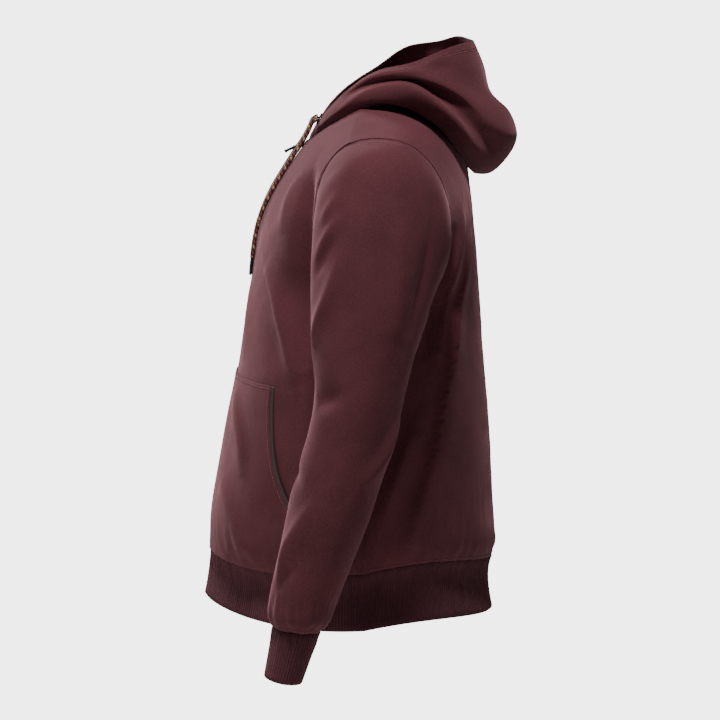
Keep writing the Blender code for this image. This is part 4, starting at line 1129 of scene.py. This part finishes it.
def small_form(name, points, faces, look):
    """A small form for geometry nodes to repeat, kept out of the scene."""
    form = plain_mesh(name, points, faces, look)
    bpy.context.scene.collection.objects.unlink(form)
    return form


path_nodes, path_sockets = path_tree("forms_along_a_path")
zip_black = lacquered_black("black_zip_finish")
tape_black = twill_tape("black_woven_zip_tape", "#151213")
zip_rows = sum(STEPS[:NECK_CORNER]) + 1
edge = front_half[:zip_rows, 0].copy()
edge[-1] = edge[-2] + (edge[-1] - edge[-2]) * CHAIN_STOP
beside = front_half[:zip_rows, 4]
edge_out = unit(np.cross(beside - edge, np.gradient(edge, axis=0)))
middle_out = unit(edge_out * (0, 1, 1))
middle = edge * (0, 1, 1)
# One tooth: a small block across the chain, narrower in front.
corners = np.array([(x, y, z) for x in (-1, 1) for y in (-1, 1) for z in (-1, 1)]) * np.array(TOOTH_HALF)
corners[:, 1] = np.where(corners[:, 2] > 0, corners[:, 1] * TOOTH_TAPER, corners[:, 1])
tooth_faces = [(0, 1, 3, 2), (4, 6, 7, 5), (0, 4, 5, 1), (2, 3, 7, 6), (0, 2, 6, 4), (1, 5, 7, 3)]
tooth = small_form("zip_tooth", corners, tooth_faces, zip_black)
teeth_line = (middle - middle_out * TEETH_SINK, middle_out)
chain = laid_along("zip_teeth", [teeth_line], tooth, TEETH_PITCH, zip_black)
fitted(chain, "black_plastic", "zip_chain")
# The tape's outer face, from the teeth to its sewn edge.
tape_across = unit(beside - edge)
strip = [edge + tape_across * inward - edge_out * behind for inward, behind in ZIP_TAPE_LINES]
strip = np.stack([middle + (MIDDLE_GAP, 0, 0) - middle_out * ZIP_TAPE_LINES[0][1]] + strip, axis=1)
for side in ("left", "right"):
    grid = strip if side == "left" else mirrored(strip)
    zip_tape = cloth_wall("zip_tape_" + side + "_woven", [grid], tape_black, thick=ZIP_TAPE_WALL, draw=0)
    sewn(zip_tape, "zip_tape_" + side, slot="zip_tape", cut=ZIP_TAPE_CUT, area=ZIP_TAPE_AREA,
         held="stretched")

# ---- Slider and pull ---------------------------------------------------------------------------
# A small lacquered slider with a rounded top plate and a wire crown. Its pull is a moulded cord end:
# a wire ring that turns in the crown, then seven beads, the last one larger.
CROWN_RADIUS, CROWN_WIRE, CROWN_RISE = 2.3, 0.8, 3.8
PLATE_SIZE, PLATE_RISE, PLATE_ROUND = (9.0, 12.0, 1.5), 0.7, 0.6
UNDER_PLATE, UNDER_DEPTH, UNDER_ROUND = 1.2, 3.7, 0.45
POST_WIDTH, POST_LENGTH, POST_ROUND = 2.6, 2.4, 0.3
PULL_FALL = 26.0      # degrees below level
PULL_RING, PULL_WIRE = 2.6, 0.7
BEADS, BEAD_LENGTH, BEAD_RADIUS, LAST_BEAD_RADIUS, BEAD_NECK = 7, 3.2, 2.2, 2.6, 1.5
BEAD_PLACES = (0.02, 0.12, 0.28, 0.5, 0.72, 0.88)      # where a bead's length has a ring of points
RING_AROUND, RING_SIDES = 32, 10


def framed(place, direction):
    """A place and three axes in rows: x across the garment, z along a direction."""
    along_z = unit(np.array(direction, float))
    across = np.array((1.0, 0, 0)) - along_z[0] * along_z
    across = unit(across)
    return np.array(place, float), np.array((across, np.cross(along_z, across), along_z))


def rounded_block(size, place, round_off, frame):
    """A bevelled block's mesh points and faces, placed in a frame."""
    block = bmesh.new()
    bmesh.ops.create_cube(block, size=1.0)
    bmesh.ops.scale(block, vec=size, verts=block.verts)
    bmesh.ops.bevel(block, geom=list(block.edges), offset=round_off, segments=3, affect="EDGES", profile=0.5)
    block.verts.ensure_lookup_table()
    origin, axes = frame
    points = origin + (np.array([vertex.co for vertex in block.verts]) + place) @ axes
    faces = [tuple(vertex.index for vertex in face.verts) for face in block.faces]
    block.free()
    return points, faces


slider_up = unit(middle[-1] - middle[-2])
slider_out = np.cross((1.0, 0, 0), slider_up)
slider_frame = framed(np.array(ZIP_EDGE[-1]) * (0, 1, 1), slider_out)
reach = UNDER_DEPTH + UNDER_PLATE
plate_wide, plate_long, plate_thick = PLATE_SIZE
post_height = reach + PLATE_RISE + plate_thick - 0.2
crown_place = slider_frame[0] + np.array((0, -plate_long / 2, CROWN_RISE)) @ slider_frame[1]
crown_ring, crown_faces = ring_mesh(CROWN_RADIUS, CROWN_WIRE, RING_AROUND, RING_SIDES)
crown = crown_place + crown_ring[:, (2, 0, 1)]
slider_piece = plain_mesh("slider_body", *joined([
    rounded_block(PLATE_SIZE, (0, -plate_long / 2, PLATE_RISE + plate_thick / 2), PLATE_ROUND,
                  slider_frame),
    rounded_block((plate_wide, plate_long, UNDER_PLATE), (0, -plate_long / 2, UNDER_PLATE / 2 - reach),
                  UNDER_ROUND, slider_frame),
    rounded_block((POST_WIDTH, POST_LENGTH, post_height),
                  (0, -POST_LENGTH / 2 - 0.1, post_height / 2 - reach + 0.1), POST_ROUND, slider_frame),
    (crown, crown_faces)]), zip_black)
fitted(slider_piece, "black_metal", "zip_slider")

fall = math.radians(PULL_FALL)
hang_place, hang_axes = framed(crown_place, (0, -math.cos(fall), -math.sin(fall)))
start = 2 * PULL_RING - 0.6
# Height along the pull, and its radius there.
pull_profile = [(start, 0.3), (start + 0.1, 1.1)]
for bead in range(BEADS):
    widest = LAST_BEAD_RADIUS if bead == BEADS - 1 else BEAD_RADIUS
    for share in BEAD_PLACES:
        bulge = BEAD_NECK + (widest - BEAD_NECK) * math.sin(math.pi * min(share / 0.9, 1))**0.6
        pull_profile.append((start + 0.6 + (bead + share) * BEAD_LENGTH, bulge))
end = start + 0.6 + BEADS * BEAD_LENGTH
pull_profile += [(end, BEAD_NECK), (end + 0.1, 0.3)]
bead_path = hang_place + np.array([(0, 0, height) for height, radius in pull_profile]) @ hang_axes
beads = tube_mesh(bead_path, np.array([radius for height, radius in pull_profile]), ROUND_SIDES)
loop_ring, loop_faces = ring_mesh(PULL_RING, PULL_WIRE, RING_AROUND, RING_SIDES)
loop = hang_place + (loop_ring[:, (0, 2, 1)] * (1, -1, 1) + (0, 0, PULL_RING)) @ hang_axes
pull_piece = plain_mesh("pull_body", *joined([beads, (loop, loop_faces)]), zip_black)
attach(pull_piece, "pull")
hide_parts("zip_pull")

# ---- Stitching ---------------------------------------------------------------------------------
# Topstitching in matching polyester thread: beside the armholes, round the hood's face edge, along
# the zip, above the hem and cuffs, and on the pockets. The thread lies on the cloth.
STITCH_PITCH, STITCH_LENGTH, STITCH_RADIUS = 3.2, 2.6, 0.32
THREAD_LIFT, THREAD_SIDES = 0.12, 6
SEWN_ROWS = 12        # mesh rows from a border within which every row of stitches lies
# How far each row of stitches lies from its seam or edge.
HOOD_ROWS, SEAM_ROW, ARMHOLE_ROW = (9.0, 12.0), 4.0, 4.5


def sewing_thread(name, colour):
    """Twisted polyester sewing thread: a fine, silky line, a little lighter than the cloth."""
    return braid_yarn(name, colour, 0.15)


def sewing_line(grid, border, distance, first=0, last=None, tube=False):
    """The line on a grid at a distance from one of its borders, with the cloth's outward direction."""
    outward = surface_normals(grid, tube)
    cloth, out = (lines.swapaxes(0, 1) if "column" in border else lines for lines in (grid, outward))
    if "last" in border:
        cloth, out = cloth[::-1], out[::-1]
    cloth, out = cloth[:SEWN_ROWS], out[:SEWN_ROWS]
    run = np.cumsum(np.linalg.norm(np.diff(cloth, axis=0), axis=-1), axis=0)
    run = np.concatenate([np.zeros((1, run.shape[1])), run])
    line, facing = [], []
    for column in range(cloth.shape[1]):
        line.append(read_at(distance, run[:, column], cloth[:, column]))
        facing.append(read_at(distance, run[:, column], out[:, column]))
    line, facing = np.array(line)[first:last], unit(np.array(facing))[first:last]
    return line + facing * THREAD_LIFT, facing


thread = sewing_thread("burgundy_thread", "#7A434B")
stitch_path = np.array([(-0.5, 0, -0.12), (-0.35, 0, 0.1), (0.35, 0, 0.1), (0.5, 0, -0.12)])
stitch_path = stitch_path * (STITCH_LENGTH, 1, 1)
stitch_points, stitch_faces = tube_mesh(stitch_path, np.array([0.4, 1.0, 1.0, 0.4]) * STITCH_RADIUS,
                                         THREAD_SIDES)
stitch = small_form("stitch", stitch_points, stitch_faces, thread)


def stitched(name, paths):
    """Rows of stitches on the garment."""
    rows = laid_along(name, paths, stitch, STITCH_PITCH, thread)
    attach(rows, "garment")


underarm_row = sum(STEPS[HEM_SEAM:UNDERARM]) + 3
for side, zip_side, arm_side in (("left", "first column", "last column"),
                                 ("right", "last column", "first column")):
    front, hood, pocket = fronts[side], hoods[side], pockets[side]
    stitched("hood_stitches_" + side, [sewing_line(hood, "last row", away, 2, -2) for away in HOOD_ROWS])
    stitched("front_stitches_" + side, [sewing_line(front, zip_side, SEAM_ROW, 2, -6),
                                        sewing_line(front, arm_side, ARMHOLE_ROW, underarm_row, -2),
                                        sewing_line(front, "first row", SEAM_ROW, 3, -3)])
    stitched("sleeve_stitches_" + side, [sewing_line(sleeves[side], "last row", SEAM_ROW, tube=True)])
    stitched("pocket_stitches_" + side, [sewing_line(pocket, arm_side, SEAM_ROW, 1, -1),
                                         sewing_line(pocket, "last row", SEAM_ROW, 1, -1)])
for side, half, arm_side in (("left", halves[0], "first column"), ("right", halves[1], "last column")):
    stitched("back_stitches_" + side, [sewing_line(half, arm_side, ARMHOLE_ROW, underarm_row, -2),
                                       sewing_line(half, "first row", SEAM_ROW, 2, -2)])
